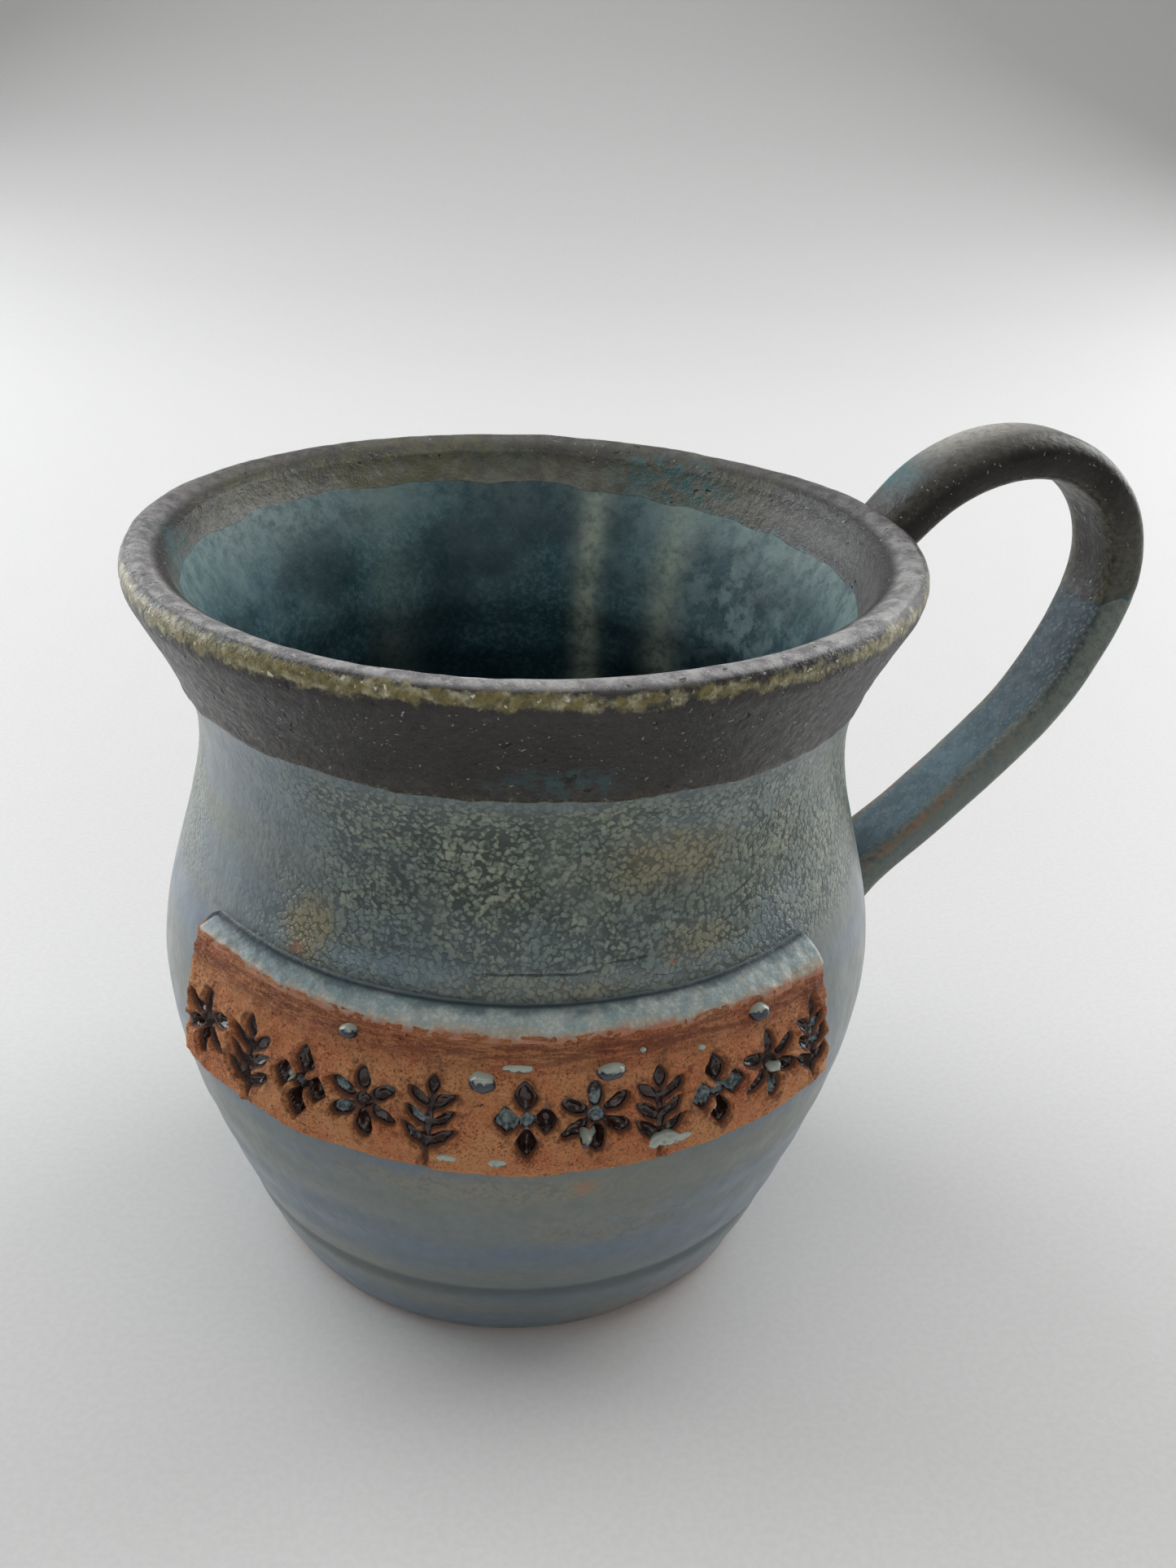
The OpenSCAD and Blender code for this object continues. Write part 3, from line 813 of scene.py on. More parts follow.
def strip_directions(span, columns):
    return (STRIP_AZ + np.linspace(-span / 2, span / 2, columns))[:, None]


def strip_grid():
    """The directions and heights of a fine grid over the strip and a little past its edges."""
    span = STRIP_SPAN + 3.0
    az = strip_directions(span, round(math.radians(span) * BELLY_R / STRIP_STEP))
    low, high = strip_low(az) - 0.35, strip_high(az) + 0.25
    return az, low + np.linspace(0, 1, round(STRIP_TALL / STRIP_STEP)) * (high - low)


def stamped_strip(az, z, surface, material):
    height, near, to_edge, cut = surface
    back_z = z[:, :1] + 0.02 + np.linspace(1, 0, STRIP_BACK_ROWS) * (z[:, -1:] - z[:, :1] - 0.04)
    points = np.concatenate([wall(az, z, -height), wall(az, back_z, 0.75)], axis=1)
    fields = {
        "cavity": smooth((cut - 0.15) / 1.1),
        "rim": bump(near, 0.35, 0.45),
        "flash": bump(z, strip_high(az) - bevel_width(az) - 1.6, 2.2),
        "torn": smooth(1 - to_edge / 1.4),
        "glazed": smooth((z - strip_high(az) + 1.3) / 0.8),
    }
    fields = {field: front_only(values, STRIP_BACK_ROWS) for field, values in fields.items()}
    faces = tube_faces(*points.shape[:2])
    add_piece("stamped_strip", points, faces, material, ["clay_strip"], fields)


def shell_over(az, z, low, high, keep):
    """A closed shell between two heights over the wall, where keep is true on the grid."""
    inside = keep[:-1, :-1] & keep[1:, :-1] & keep[1:, 1:] & keep[:-1, 1:]
    c, r = np.nonzero(inside)
    rows = keep.shape[1]
    quads = np.stack([c * rows + r, (c + 1) * rows + r, (c + 1) * rows + r + 1, c * rows + r + 1], -1)
    used, flat = np.unique(quads, return_inverse=True)
    quads, count = flat.reshape(quads.shape), len(used)
    edges = np.concatenate([quads[:, [k, (k + 1) % 4]] for k in range(4)])
    key, other = edges[:, 0] * count + edges[:, 1], edges[:, 1] * count + edges[:, 0]
    rim = edges[~np.isin(key, other)]
    sides = np.stack([rim[:, 1], rim[:, 0], rim[:, 0] + count, rim[:, 1] + count], -1)
    top, bottom = (wall(az, z, -height).reshape(-1, 3)[used] for height in (high, low))
    faces = np.concatenate([quads, quads[:, ::-1] + count, sides])
    return np.concatenate([top, bottom]), faces.tolist(), used


def stamp_pools(az, z, surface, material):
    """Glossy glaze that ran together in the bottoms of the impressions."""
    height, _, _, cut = surface
    level = noise(wall(az, z), 2.6, 81)
    thick = 0.10 + 0.45 * smooth(1.6 * level - 0.2)
    wet = smooth((cut - 0.9) / 0.4)
    top = np.maximum(softened(height, 8) + thick * wet, height + 0.04) * wet + (height - 0.12) * (1 - wet)
    keep = cut > 0.75
    grown = keep.copy()
    grown[1:-1, 1:-1] |= keep[:-2, 1:-1] | keep[2:, 1:-1] | keep[1:-1, :-2] | keep[1:-1, 2:]
    points, faces, used = shell_over(az, z, height - 0.3, top, grown)
    pooled = smooth(2.2 * level - 0.25).reshape(-1)[used]
    fields = {"blue": np.concatenate([pooled, pooled])}
    add_piece("stamp_pools", points, faces, material, ["impression_glaze"], fields)


def strip_edge_coat(material):
    """Pale glaze over the strip's upper bevel, from the crease down to where it fades into the clay."""
    az = strip_directions(STRIP_SPAN + 1.5, EDGE_COLUMNS)
    u = strip_share(az)
    low, high = strip_high(az) - bevel_width(az) - 0.7, strip_high(az) + 0.6
    z = edged(low, high, EDGE_ROWS)
    clay = strip_height(az, z)[0]
    ends = smooth((1.0 + u) * 24) * smooth((1.0 - u) * 30)
    thick = (0.12 + 0.30 * bump_at(az, -43, 4)) * smooth((z - low) / 1.1) * smooth((high - z) / 0.8) * ends
    thick = thick + 0.05 * noise(wall(az, z), 1.2, 93)
    sunk = 0.2 * (1 - ends) + 0.25 * smooth((z - high + 0.5) / 0.5)
    top = softened(np.maximum(clay, 0.0), 14) + thick - sunk
    top = np.where(z - low < 0.02, np.minimum(clay, top) - 0.1, top)
    back_z = z[:, ::-3]
    back = wall(az, back_z, 0.6 - np.maximum(strip_height(az, back_z)[0], 0))
    points = np.concatenate([wall(az, z, -top), back], axis=1)
    all_z = np.concatenate([z, back_z], axis=1)
    fields = {
        "up": (all_z - low - 0.5) / (strip_high(az) - low - 0.5),
        # A dark line of painted shade in the crease.
        "crease": bump(all_z, strip_high(az) + 0.05, 0.15),
        "left": smooth((-u - 0.2) / 0.6),
    }
    faces = tube_faces(*points.shape[:2])
    add_piece("strip_edge_coat", points, faces, material, ["strip_edge_glaze"], fields)


def glaze_drops(material):
    """Round beads of glaze, each a grid from its crown down its side and under it to its root."""
    turn = np.linspace(0, 2 * math.pi, DROP_SPOKES, endpoint=False)[:, None]
    share = np.linspace(0, 1, DROP_RINGS + 1)[None, 1:]
    one = np.ones_like(turn)
    drops, blue = [], []
    for i, (az, z, wide, tall, rise) in enumerate(DROPS):
        ring = np.stack([np.cos(turn), np.sin(turn), 3.1 * i * one], -1)
        out = share * (1 + 0.16 * noise(ring, 0.7, 95))
        here, y = az + np.degrees(out * np.cos(turn) * wide / outer(z)), out * np.sin(turn) * tall
        clay, _, _, cut = strip_height(here, z + y)
        base = clay + 0.6 * np.minimum(cut, 1.2)
        top = base + rise * np.sqrt(1 - share ** 2) * (1 + 0.1 * y / tall) - 0.12 * share ** 6
        crown, root = top[:, 0].mean() * one, (base.min() - 0.8) * one
        rises = np.concatenate([crown, top, base[:, -1:] - 0.5, root], axis=1)
        around = np.concatenate([az * one, here, here[:, -1:], az * one], axis=1)
        up = np.concatenate([z * one, z + y, z + y[:, -1:], z * one], axis=1)
        drops.append(wall(around, up, -rises))
        tone = 1.0 if rise > 0.5 else 0.35
        # Paler towards the top as painted light, darker blue below where the drop hangs thick.
        lit = 1.95 - 2.2 * np.clip((y + tall) / (2 * tall), 0, 1)
        blue.append(tone * np.concatenate([0.6 * one, lit, one, one], axis=1))
    rows = DROP_RINGS + 3
    faces = np.array(grid_faces(DROP_SPOKES, rows, True, False))
    faces = np.concatenate([faces + i * DROP_SPOKES * rows for i in range(len(DROPS))]).tolist()
    drops, fields = np.array(drops), {"blue": np.array(blue)}
    add_piece("glaze_drops", drops, faces, material, ["glaze_beads"], fields, weld=True)


# ---- materials ----

def srgb(r, g, b):
    """A linear colour from its screen values of 0 to 255."""
    return tuple(c / 255 / 12.92 if c < 10.3 else ((c / 255 + 0.055) / 1.055) ** 2.4 for c in (r, g, b))


class Paint:
    """One material. Colours are given as screen values, and a string stands for a field of that name."""

    def __init__(self, name, **sockets):
        self.material = bpy.data.materials.new(name)
        self.material.use_nodes = True
        self.tree = self.material.node_tree
        self.shader = self.tree.nodes["Principled BSDF"]
        self.colour = None
        for socket, value in sockets.items():
            self.feed(self.shader.inputs[socket.replace("_", " ")], value)
        self.where = self.add("ShaderNodeTexCoord").outputs["Object"]

    def add(self, kind, **settings):
        node = self.tree.nodes.new(kind)
        for key, value in settings.items():
            setattr(node, key, value)
        return node

    def feed(self, socket, value):
        if isinstance(value, str):
            value = self.add("ShaderNodeAttribute", attribute_name=value).outputs["Fac"]
        if isinstance(value, bpy.types.NodeSocket):
            self.tree.links.new(value, socket)
        elif socket.type == "RGBA":
            socket.default_value = (*srgb(*value), 1)
        else:
            socket.default_value = value

    def join(self, kind, output, values, **settings):
        """The output of a new node that reads some values."""
        node = self.add(kind, **settings)
        for socket, value in zip(node.inputs, values):
            self.feed(socket, value)
        return node.outputs[output]

    def vector(self, operation, a, b, output="Vector"):
        return self.join("ShaderNodeVectorMath", output, (a, b), operation=operation)

    def math(self, operation, a, b=0.0):
        return self.join("ShaderNodeMath", "Value", (a, b), operation=operation)

    def ease(self, value, low, high, start=0.0, end=1.0):
        """start where value is low, end where it is high, and smooth between."""
        values = (value, low, high, start, end)
        return self.join("ShaderNodeMapRange", "Result", values, interpolation_type="SMOOTHSTEP")

    def texture(self, kind, size, at, **sockets):
        """A texture whose features are about size millimetres across."""
        node = self.add(kind)
        for socket, value in (("Vector", at or self.where), ("Scale", 1 / (size * MM)), *sockets.items()):
            self.feed(node.inputs[socket], value)
        return node.outputs

    def noise(self, size, detail, roughness=0.55, at=None, seed=0):
        """Noise from 0 to 1."""
        place_at = self.vector("ADD", at or self.where, (0.37 * seed, 0.21 * seed, 0.0))
        return self.texture("ShaderNodeTexNoise", size, place_at, Detail=detail, Roughness=roughness)["Fac"]

    def cloud(self, size, detail, low, high, start=0.0, end=1.0, **settings):
        """Noise eased from start to end."""
        return self.ease(self.noise(size, detail, **settings), low, high, start, end)

    def wavered(self, size, reach, seed=0):
        """The place, moved up to reach millimetres by noise of a size."""
        place_at = self.vector("ADD", self.where, (0.11 * seed, 0.0, 0.0))
        colour = self.texture("ShaderNodeTexNoise", size, place_at, Detail=1.0)["Color"]
        shift = self.vector("SUBTRACT", colour, (0.5, 0.5, 0.5))
        return self.vector("ADD", self.where, self.vector("MULTIPLY", shift, (4 * reach * MM,) * 3))

    def stretched(self, x, y, z):
        return self.vector("MULTIPLY", self.where, (x, y, z))

    def cells(self, size, at=None):
        """Distance from each cell's centre, in cells, and a random colour for each."""
        outputs = self.texture("ShaderNodeTexVoronoi", size, at)
        return outputs["Distance"], outputs["Color"]

    def scratch(self, az, z, length, tilt, width):
        """1 along a straight scratch on the wall, centred at a direction and height, and 0 off it."""
        a, t = math.radians(az), math.radians(tilt)
        middle = Vector((outer(z) * math.cos(a), outer(z) * math.sin(a), z)) * MM
        round_it, up = Vector((-math.sin(a), math.cos(a), 0)), Vector((0, 0, 1))
        along = math.cos(t) * round_it + math.sin(t) * up
        across = math.cos(t) * up - math.sin(t) * round_it
        away = self.vector("SUBTRACT", self.wavered(3, 0.15, 5), tuple(middle))
        far, off = (self.math("ABSOLUTE", self.vector("DOT_PRODUCT", away, tuple(axis), "Value"))
                    for axis in (along, across))
        inside = self.ease(far, length / 2 * MM, length / 3 * MM)
        return self.share(inside, self.ease(off, width * MM, width / 3 * MM))

    def share(self, *parts):
        """The product of numbers, outputs and fields."""
        return reduce(partial(self.math, "MULTIPLY"), parts)

    def total(self, *values):
        return reduce(partial(self.math, "ADD"), values)

    def mix(self, share, a, b):
        node = self.add("ShaderNodeMix", data_type="RGBA")
        for socket, value in zip((node.inputs[0], *node.inputs[6:8]), (share, a, b)):
            self.feed(socket, value)
        return node.outputs[2]

    def lay(self, colour, *parts):
        """Lays a colour over those before it, with the product of parts as its share."""
        self.colour = self.mix(self.share(*parts), self.colour, colour)

    def relief(self, *layers):
        """A height in millimetres: the total of outputs, each times how far it rises."""
        return self.total(*(self.share(output, rise) for output, rise in layers))

    def finish(self, roughness, height):
        """Joins the colour, the roughness and the height to the shader."""
        self.feed(self.shader.inputs["Base Color"], self.colour)
        self.feed(self.shader.inputs["Roughness"], roughness)
        node = self.add("ShaderNodeBump")
        for socket, value in (("Strength", 1.0), ("Distance", MM), ("Height", height)):
            self.feed(node.inputs[socket], value)
        self.feed(self.shader.inputs["Normal"], node.outputs["Normal"])
        return self.material


def clay_paint():
    """Bare stoneware, browner in clouds, with dark specks."""
    p = Paint("bare_stoneware", IOR=1.45)
    p.colour = p.mix(p.cloud(9, 4, 0.35, 0.65), (150, 112, 86), (118, 82, 62))
    grain = p.noise(0.5, 3, 0.7)
    p.lay((96, 60, 44), p.ease(grain, 0.56, 0.72, 0, 0.5))
    p.lay((58, 38, 30), p.ease(p.cells(2.1)[0], 0.16, 0.08))
    return p.finish(p.ease(grain, 0.3, 0.7, 0.75, 0.92), p.relief((grain, 0.10), (p.noise(0.2, 2), 0.04)))


def body_paint():
    """Blue-green glaze that breaks into pale islands in a darker net."""
    p = Paint("blue_green_glaze", IOR=1.5, Coat_Weight=0.4, Coat_Roughness=0.3)
    distance, tint = p.cells(0.6, p.wavered(0.8, 0.2))
    fuller = p.cloud(3.5, 3, 0.34, 0.64, 0.07, -0.10, seed=9)
    island = p.ease(p.total(distance, fuller), 0.78, 0.34)
    strength = p.share("islands", p.cloud(9, 3, 0.30, 0.58, 0.45, 1.0, seed=2))
    large = p.cloud(24, 3, 0.36, 0.64, seed=1)
    bands = p.cloud(5.5, 3, 0.36, 0.64, at=p.stretched(0.12, 0.12, 1.0), seed=4)
    low = p.mix(bands, (98, 116, 132), (116, 121, 114))
    p.colour = p.mix("islands", low, p.mix(large, (112, 122, 112), (98, 112, 108)))
    net = p.mix(large, (26, 44, 34), (22, 40, 40))
    pale = p.mix(p.cloud(6, 3, 0.4, 0.62, seed=6), (152, 158, 136), (122, 138, 128))
    pale = p.mix(p.ease(tint, 0.3, 0.7, 0.0, 0.6), pale, (78, 94, 80))
    p.lay(p.mix(island, net, pale), strength)
    p.lay((60, 78, 92), "blue", 0.45)
    # Paler patches: partly paler glaze, partly a painted reflection on the left side and a painted highlight
    # above the strip.
    p.lay((126, 146, 154), "pale", p.cloud(2, 3, 0.3, 0.6, 0.4, 0.9, seed=12))
    p.lay((74, 88, 88), p.cloud(1.3, 4, 0.34, 0.66, roughness=0.65, seed=5), 0.26)
    ochre = p.mix(island, (96, 92, 62), (150, 134, 92))
    p.lay(ochre, "ochre", p.cloud(1.2, 3, 0.3, 0.6, 0.5, 1.0, seed=7), 0.85)
    p.lay((158, 110, 78), "rust", 0.8)
    p.lay((84, 78, 72), "foot", p.cloud(2, 2, 0.35, 0.6))
    # Painted shade: a dark line in the crease above the strip.
    p.lay((34, 42, 48), "crease", 0.75)
    # Painted shade in the potter's groove.
    p.lay((60, 68, 72), "groove", 0.65)
    cuts = p.total(p.scratch(-87, 59.7, 15, 1, 0.16), p.scratch(-51, 66, 7, 22, 0.14),
                   p.scratch(-54, 63.5, 6, 25, 0.12), p.scratch(-74, 60.6, 6, 4, 0.12))
    p.lay((36, 48, 46), cuts, 0.7)
    runs = p.noise(0.9, 3, at=p.stretched(1.0, 1.0, 0.2), seed=13)
    height = p.relief((p.share(island, strength), 0.20), (p.noise(2.2, 2), 0.12), (runs, 0.05),
                      (p.noise(0.35, 2), 0.012), (cuts, -0.12))
    return p.finish(p.cloud(3, 2, 0.3, 0.7, 0.34, 0.46, seed=8), height)


def lay_dark(p):
    """The iron-dark glaze's own colour, with its fine pale specks."""
    p.colour = p.mix(p.cloud(7, 4, 0.36, 0.66, roughness=0.6), (30, 26, 24), (43, 39, 37))
    p.lay((26, 21, 19), p.cloud(0.6, 3, 0.52, 0.7, 0, 0.55, roughness=0.7, seed=1))
    specks, _ = p.cells(0.95, p.wavered(1.4, 0.5))
    p.lay((150, 154, 148), p.ease(specks, 0.17, 0.08), p.cloud(2.2, 2, 0.40, 0.52, seed=3))


def rim_paint():
    """Dark glaze, olive and broken pale where it thins over the lip, with painted light: a lavender highlight
    on the lip top, glints on the crest and shade on the lip's inner slope.
    """
    p = Paint("dark_iron_glaze", IOR=1.5, Coat_Weight=0.08, Coat_Roughness=0.25)
    lay_dark(p)
    grey = p.mix(p.cloud(3, 4, 0.35, 0.65, roughness=0.6, seed=12), (136, 136, 124), (98, 95, 86))
    # The olive-grey inner slope of the lip, darkened by painted shade at the sides.
    p.lay(p.mix(p.share("inside_shade", 0.8), grey, (64, 62, 66)), "inside", 0.85)
    # The lip top's lavender, partly where the dark glaze thins and partly a painted highlight.
    lavender_sheen = p.mix(p.cloud(2.2, 5, 0.38, 0.62, roughness=0.7, seed=13), (128, 124, 126), (184, 182, 180))
    lavender_sheen = p.mix(p.cloud(0.5, 3, 0.58, 0.68, 0, 0.8, roughness=0.7, seed=17), lavender_sheen, (206, 206, 200))
    p.lay(lavender_sheen, "lip_top_sheen", 0.9)
    thin = p.total("inner_edge", p.cloud(1.8, 5, 0.3, 0.7, -0.7, 0.7, roughness=0.75, seed=14))
    meeting = p.mix(p.cloud(1.2, 4, 0.4, 0.6, roughness=0.7, seed=15), (56, 84, 90), (110, 128, 126))
    p.lay(meeting, p.ease(thin, 0.5, 1.1))
    p.lay((98, 96, 58), "olive", p.cloud(2.4, 4, 0.36, 0.6, 0.2, 1.0, roughness=0.65, seed=6), 0.8)
    p.lay((50, 96, 98), "teal", p.cloud(1.6, 4, 0.38, 0.60, roughness=0.7, seed=5))
    broken = p.noise(0.75, 4, 0.7, seed=7)
    ragged = p.total("crest", p.cloud(2.2, 5, 0.3, 0.7, -0.40, 0.40, roughness=0.7, seed=20))
    tone = p.mix(p.cloud(1.7, 3, 0.42, 0.64, seed=16), (122, 112, 64), (172, 166, 132))
    on_crest = p.share(p.ease(ragged, 0.15, 0.70), p.ease("crest", 0.01, 0.12))
    p.lay(tone, on_crest, p.ease(broken, 0.36, 0.56, 0.45, 1.0))
    # Pale flecks along the crest, painted as glints of light.
    crest_glints = p.cloud(0.85, 2, 0.64, 0.70, 0, 0.95, roughness=0.6, seed=8)
    p.lay((226, 223, 206), p.ease("crest", 0.2, 0.8), crest_glints)
    p.lay((76, 62, 44), "above_edge", p.cloud(1.1, 3, 0.46, 0.64, roughness=0.7, seed=9), 0.5)
    p.lay((66, 56, 42), "edge", p.cloud(1.2, 4, 0.34, 0.6, 0.3, 1.0, roughness=0.7, seed=18), 0.8)
    p.lay((140, 142, 118), "edge", p.cloud(0.5, 3, 0.54, 0.62, roughness=0.7, seed=19), 0.7)
    pits, _ = p.cells(2.6, p.wavered(3, 1.0))
    pit = p.share(p.ease(pits, 0.16, 0.06), p.cloud(9, 2, 0.46, 0.56, seed=10))
    p.lay((24, 19, 18), pit, 0.6)
    height = p.relief((p.noise(0.9, 4, 0.65), 0.26), (pit, -0.4), (broken, 0.10))
    return p.finish(p.cloud(1.1, 4, 0.3, 0.7, 0.30, 0.56, roughness=0.7, seed=11), height)


def liner_paint():
    """Deep teal glaze with pale runs, darkening down the cup with painted shade."""
    p = Paint("teal_liner_glaze", IOR=1.5, Specular_IOR_Level=0.3)
    # The colours darken with depth down the cup: painted shade.
    p.colour = p.mix("depth", (52, 92, 102), (2, 14, 20))
    runs = p.cloud(5, 4, 0.42, 0.66, roughness=0.6, at=p.stretched(1.0, 1.0, 0.3))
    p.lay(p.mix("depth", (86, 112, 108), (16, 38, 44)), runs, 0.3)
    clouds = p.cloud(12, 5, 0.44, 0.66, roughness=0.65, seed=8)
    p.lay((126, 146, 146), clouds, p.ease("depth", 0.5, 0.05), 0.4)
    p.lay((168, 188, 190), "haze", p.cloud(3.2, 5, 0.42, 0.58, 0.15, 1.0, roughness=0.75, seed=9), 0.7)
    mottle = p.cloud(0.8, 5, 0.46, 0.60, roughness=0.75, seed=2)
    mottle = p.share(mottle, p.ease("depth", 0.9, 0.2, 0.15, 0.7))
    p.lay((104, 132, 136), mottle, 0.7)
    p.lay((12, 38, 48), p.cloud(13, 3, 0.42, 0.62, seed=3), 0.6)
    p.lay((176, 186, 166), "streak", p.cloud(1.4, 4, 0.3, 0.62, 0.3, 1.0, roughness=0.7, seed=5), 0.85)
    p.lay((128, 148, 144), "top", p.cloud(2.0, 5, 0.38, 0.58, 0.25, 1.0, roughness=0.75, seed=10), 0.8)
    height = p.relief((p.noise(3, 2), 0.12), (mottle, 0.02))
    return p.finish(p.cloud(2, 2, 0.3, 0.7, 0.42, 0.58, seed=6), height)


def handle_dark_paint():
    """The dark glaze on the handle, breaking olive along the strap's corners and grey on its sides."""
    p = Paint("dark_handle_glaze", IOR=1.5, Specular_IOR_Level=0.3)
    lay_dark(p)
    broken = p.noise(0.9, 4, 0.7, seed=7)
    corner = p.share(p.ease("corner", 0.35, 0.95), p.ease(broken, 0.36, 0.62, 0.2, 1.0))
    p.lay((104, 100, 82), corner, p.ease("along", 0.18, 0.45, 0.35, 1.0), 0.7)
    p.lay((100, 100, 90), p.share("side", p.ease("along", 0.36, 0.5, 0.0, 0.75)),
          p.ease(broken, 0.36, 0.6, 0.5, 1.0))
    # The pale painted highlight on the top of the arch.
    p.lay((190, 186, 178), "sheen", p.ease(broken, 0.32, 0.58, 0.6, 1.0))
    p.lay((48, 110, 118), "teal", p.ease(broken, 0.36, 0.54))
    thin = p.total("edge", p.cloud(1.3, 4, 0.3, 0.7, -0.45, 0.45, roughness=0.7, seed=14))
    p.lay((62, 82, 88), p.ease(thin, 0.55, 0.95))
    height = p.relief((p.noise(0.9, 3, 0.6), 0.14), (broken, 0.06))
    return p.finish(p.cloud(1.5, 3, 0.3, 0.7, 0.32, 0.5, seed=11), height)


def handle_blue_paint():
    """The blue-green glaze on the handle, breaking to tan and rust along its corners."""
    p = Paint("blue_handle_glaze", IOR=1.5, Specular_IOR_Level=0.25)
    distance, _ = p.cells(0.8, p.wavered(0.9, 0.25))
    island = p.ease(distance, 0.5, 0.2)
    p.colour = p.mix(p.cloud(5, 4, 0.35, 0.65, roughness=0.65), (22, 46, 58), (44, 70, 82))
    p.lay((92, 120, 132), p.ease("along", 0.60, 0.82, 0.0, 0.9), p.ease("along", 0.97, 0.86, 0.2, 1.0))
    p.lay((30, 50, 62), p.cloud(2.2, 5, 0.44, 0.60, roughness=0.7, seed=3), 0.4)
    p.lay((112, 132, 136), island, 0.35)
    broken = p.noise(0.9, 4, 0.7, seed=7)
    p.lay((124, 129, 120), "side", p.ease(broken, 0.34, 0.6, 0.55, 0.9))
    corner = p.share(p.ease("corner", 0.5, 0.95), p.ease(broken, 0.34, 0.6, 0.25, 1.0))
    p.lay((142, 134, 112), corner, p.ease("along", 0.60, 0.72, 0.25, 0.65))
    p.lay((166, 118, 86), "rust", p.ease(broken, 0.38, 0.56))
    height = p.relief((island, 0.03), (p.noise(1.8, 3), 0.10))
    return p.finish(p.cloud(1.5, 3, 0.3, 0.7, 0.34, 0.48, seed=11), height)


def strip_paint():
    """Bare grogged clay, flashed darker along the top, with glossy iron glaze down in the stamps."""
    p = Paint("bare_strip_clay", IOR=1.45)
    p.colour = p.mix(p.cloud(6, 4, 0.36, 0.64, roughness=0.6), (255, 178, 118), (240, 146, 92))
    grain = p.noise(0.3, 4, 0.75, seed=1)
    p.lay((124, 66, 42), p.ease(grain, 0.52, 0.64), p.cloud(4, 3, 0.36, 0.6, 0.45, 1.0, seed=5))
    p.lay((244, 190, 142), p.ease(grain, 0.47, 0.36, 0, 0.8))
    streaks = p.noise(0.6, 5, 0.8, at=p.stretched(0.16, 0.16, 1.0), seed=2)
    p.lay((122, 60, 48), "flash", p.ease(streaks, 0.40, 0.56, 0.35, 1.0), 0.8)
    p.lay((136, 84, 62), "torn", p.cloud(1.4, 3, 0.4, 0.6, 0.1, 0.5))
    pits, _ = p.cells(1.1, p.wavered(0.8, 0.5))
    pit = p.share(p.ease(pits, 0.30, 0.08), p.cloud(1.6, 4, 0.50, 0.60, roughness=0.7, seed=4))
    p.lay((74, 38, 28), pit, 0.9)
    p.lay((110, 62, 44), "rim", p.cloud(0.8, 3, 0.4, 0.65, 0.0, 0.7))
    p.lay((88, 104, 110), "glazed")
    p.lay(p.mix(p.noise(1, 2), (92, 46, 28), (134, 76, 46)), p.ease("cavity", 0.04, 0.35, 0.0, 0.9))
    p.lay((34, 18, 13), p.ease("cavity", 0.30, 0.75))
    rubbed = p.relief((grain, -0.75), (streaks, -0.45), (pit, -0.25))
    clay_rough = p.ease(grain, 0.36, 0.6, 0.55, 0.85)
    wet = p.ease("cavity", 0.2, 0.7)
    rough = p.join("ShaderNodeMix", 0, (wet, (0.5, 0.5, 0.5), clay_rough, 0.25), data_type="FLOAT")
    return p.finish(rough, p.share(rubbed, p.ease("cavity", 0.1, 0.7, 1, 0.1)))


def pool_paint():
    """Glassy glaze: iron brown, with blue-grey glass where it ran together."""
    p = Paint("stamp_glass", IOR=1.5, Coat_Weight=0.3, Coat_Roughness=0.06)
    p.colour = p.mix(p.cloud(0.8, 3, 0.35, 0.65), (26, 14, 10), (60, 32, 21))
    blue = p.mix(p.cloud(0.5, 3, 0.35, 0.65, seed=2), (58, 78, 88), (120, 136, 134))
    p.lay(blue, p.ease(p.total("blue", p.cloud(0.7, 3, 0.3, 0.7, -0.3, 0.3, seed=3)), 0.55, 0.8))
    return p.finish(p.cloud(0.6, 2, 0.3, 0.7, 0.12, 0.24), p.relief((p.noise(1.0, 2), 0.04)))


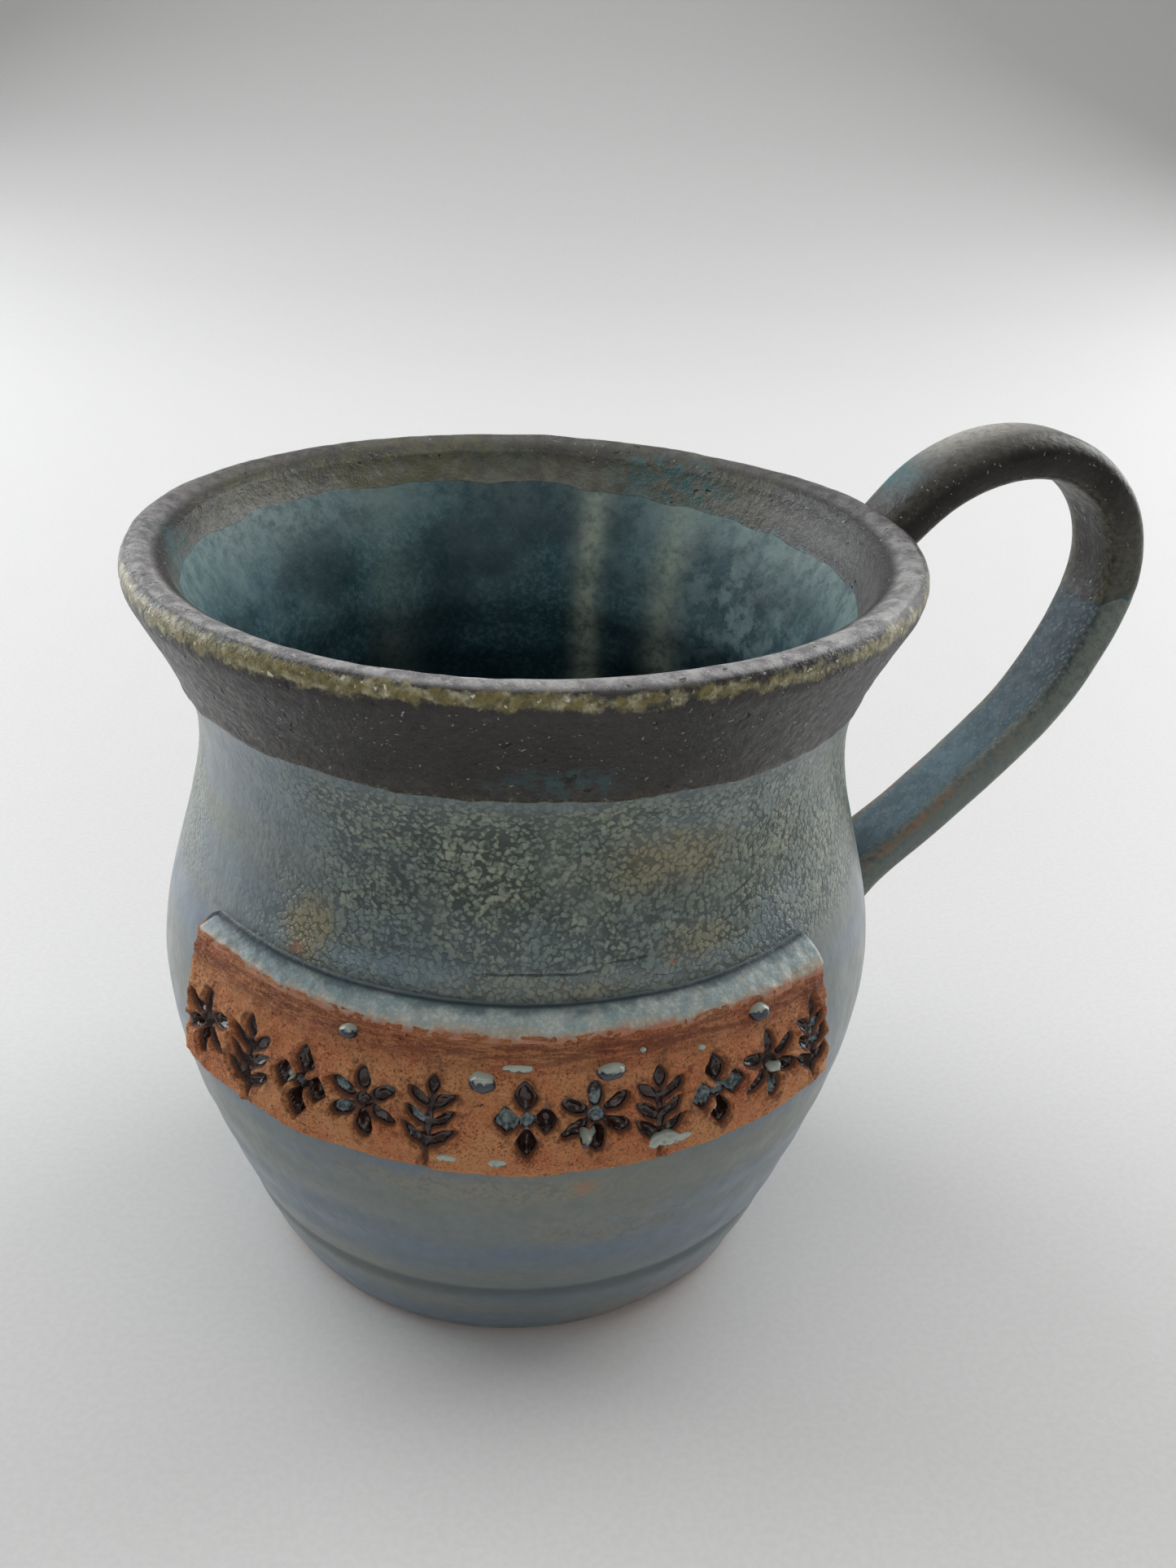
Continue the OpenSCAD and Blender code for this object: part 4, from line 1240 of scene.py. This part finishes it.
def edge_paint():
    """Pale glaze over the strip's upper bevel, blue by the crease as painted shade, with a dark line of
    painted shade in the crease, and thinned to the clay's own tan below.
    """
    p = Paint("pale_edge_glaze", IOR=1.5, Coat_Weight=0.15, Coat_Roughness=0.25)
    up = p.total("up", p.cloud(2.4, 3, 0.3, 0.7, -0.13, 0.13, roughness=0.6))
    p.colour = p.mix(p.cloud(2.4, 4, 0.36, 0.64, roughness=0.7, seed=2), (148, 168, 168), (190, 196, 188))
    p.lay((74, 92, 106), "left", 0.5)
    # Blue-grey just under the crease: painted shade.
    p.lay((58, 80, 90), p.ease(up, 0.66, 1.0, 0.0, 0.75))
    p.lay((186, 170, 144), p.ease(up, 0.46, 0.20, 0.0, 0.7))
    p.lay((186, 124, 92), p.ease(up, 0.24, -0.04))
    fine, _ = p.cells(0.5, p.wavered(0.6, 0.2))
    p.lay((84, 104, 110), p.ease(fine, 0.3, 0.55, 0, 0.25))
    p.lay((84, 98, 92), p.ease("up", 1.08, 1.2))
    # A dark line of painted shade in the crease.
    p.lay((30, 40, 46), "crease", 0.9)
    height = p.relief((p.noise(1.0, 4, 0.6), 0.12), (fine, -0.02))
    return p.finish(p.ease("up", 0.3, 0.0, 0.42, 0.75), height)


def drop_paint():
    """Drops of blue-grey glass, darker blue low down where they hang thick, and paler on top as a painted
    highlight.
    """
    p = Paint("drop_glass", IOR=1.5, Coat_Weight=0.5, Coat_Roughness=0.05)
    deep = p.total("blue", p.cloud(0.6, 3, 0.3, 0.7, -0.2, 0.2))
    p.colour = p.mix(p.ease(deep, 0.35, 0.70), (166, 174, 162), (14, 36, 54))
    return p.finish(p.cloud(0.5, 2, 0.3, 0.7, 0.10, 0.2), p.relief((p.noise(0.6, 2), 0.05)))


def table_paint():
    p = Paint("pale_table", IOR=1.45)
    p.colour = p.mix(p.cloud(0.9, 3, 0.35, 0.65), (221, 220, 218), (225, 224, 222))
    return p.finish(p.cloud(8, 2, 0.3, 0.7, 0.5, 0.56), p.relief((p.noise(0.5, 2), 0.01)))


# ---- everything together ----

add_camera()
add_lights()
add_table(table_paint())

clay_material = clay_paint()
thrown_body(clay_material)
body_glaze(body_paint())
rim_glaze_coat(rim_paint())
liner_glaze_coat(liner_paint())
pulled_handle(clay_material)
pad("upper_pad", UPPER_PAD, UPPER_HALF, 57, clay_material, "upper_luting_pad")
pad("lower_pad", LOWER_PAD, LOWER_HALF, 58, clay_material, "lower_luting_pad")
dark_edge = coat_edge(section_angles())
strap_coat("handle_dark_coat", STRAP_INSET, dark_edge, DARK_ROWS, DARK_PROUD, handle_dark_paint(),
           "handle_dark_glaze")
strap_coat("handle_blue_coat", DARK_END - COAT_OVERLAP, STRAP_LENGTH - STRAP_INSET, BLUE_ROWS, 0.0,
           handle_blue_paint(), "handle_blue_glaze")

strip_az, strip_z = strip_grid()
strip_surface = strip_height(strip_az, strip_z)
stamped_strip(strip_az, strip_z, strip_surface, strip_paint())
stamp_pools(strip_az, strip_z, strip_surface, pool_paint())
strip_edge_coat(edge_paint())
glaze_drops(drop_paint())
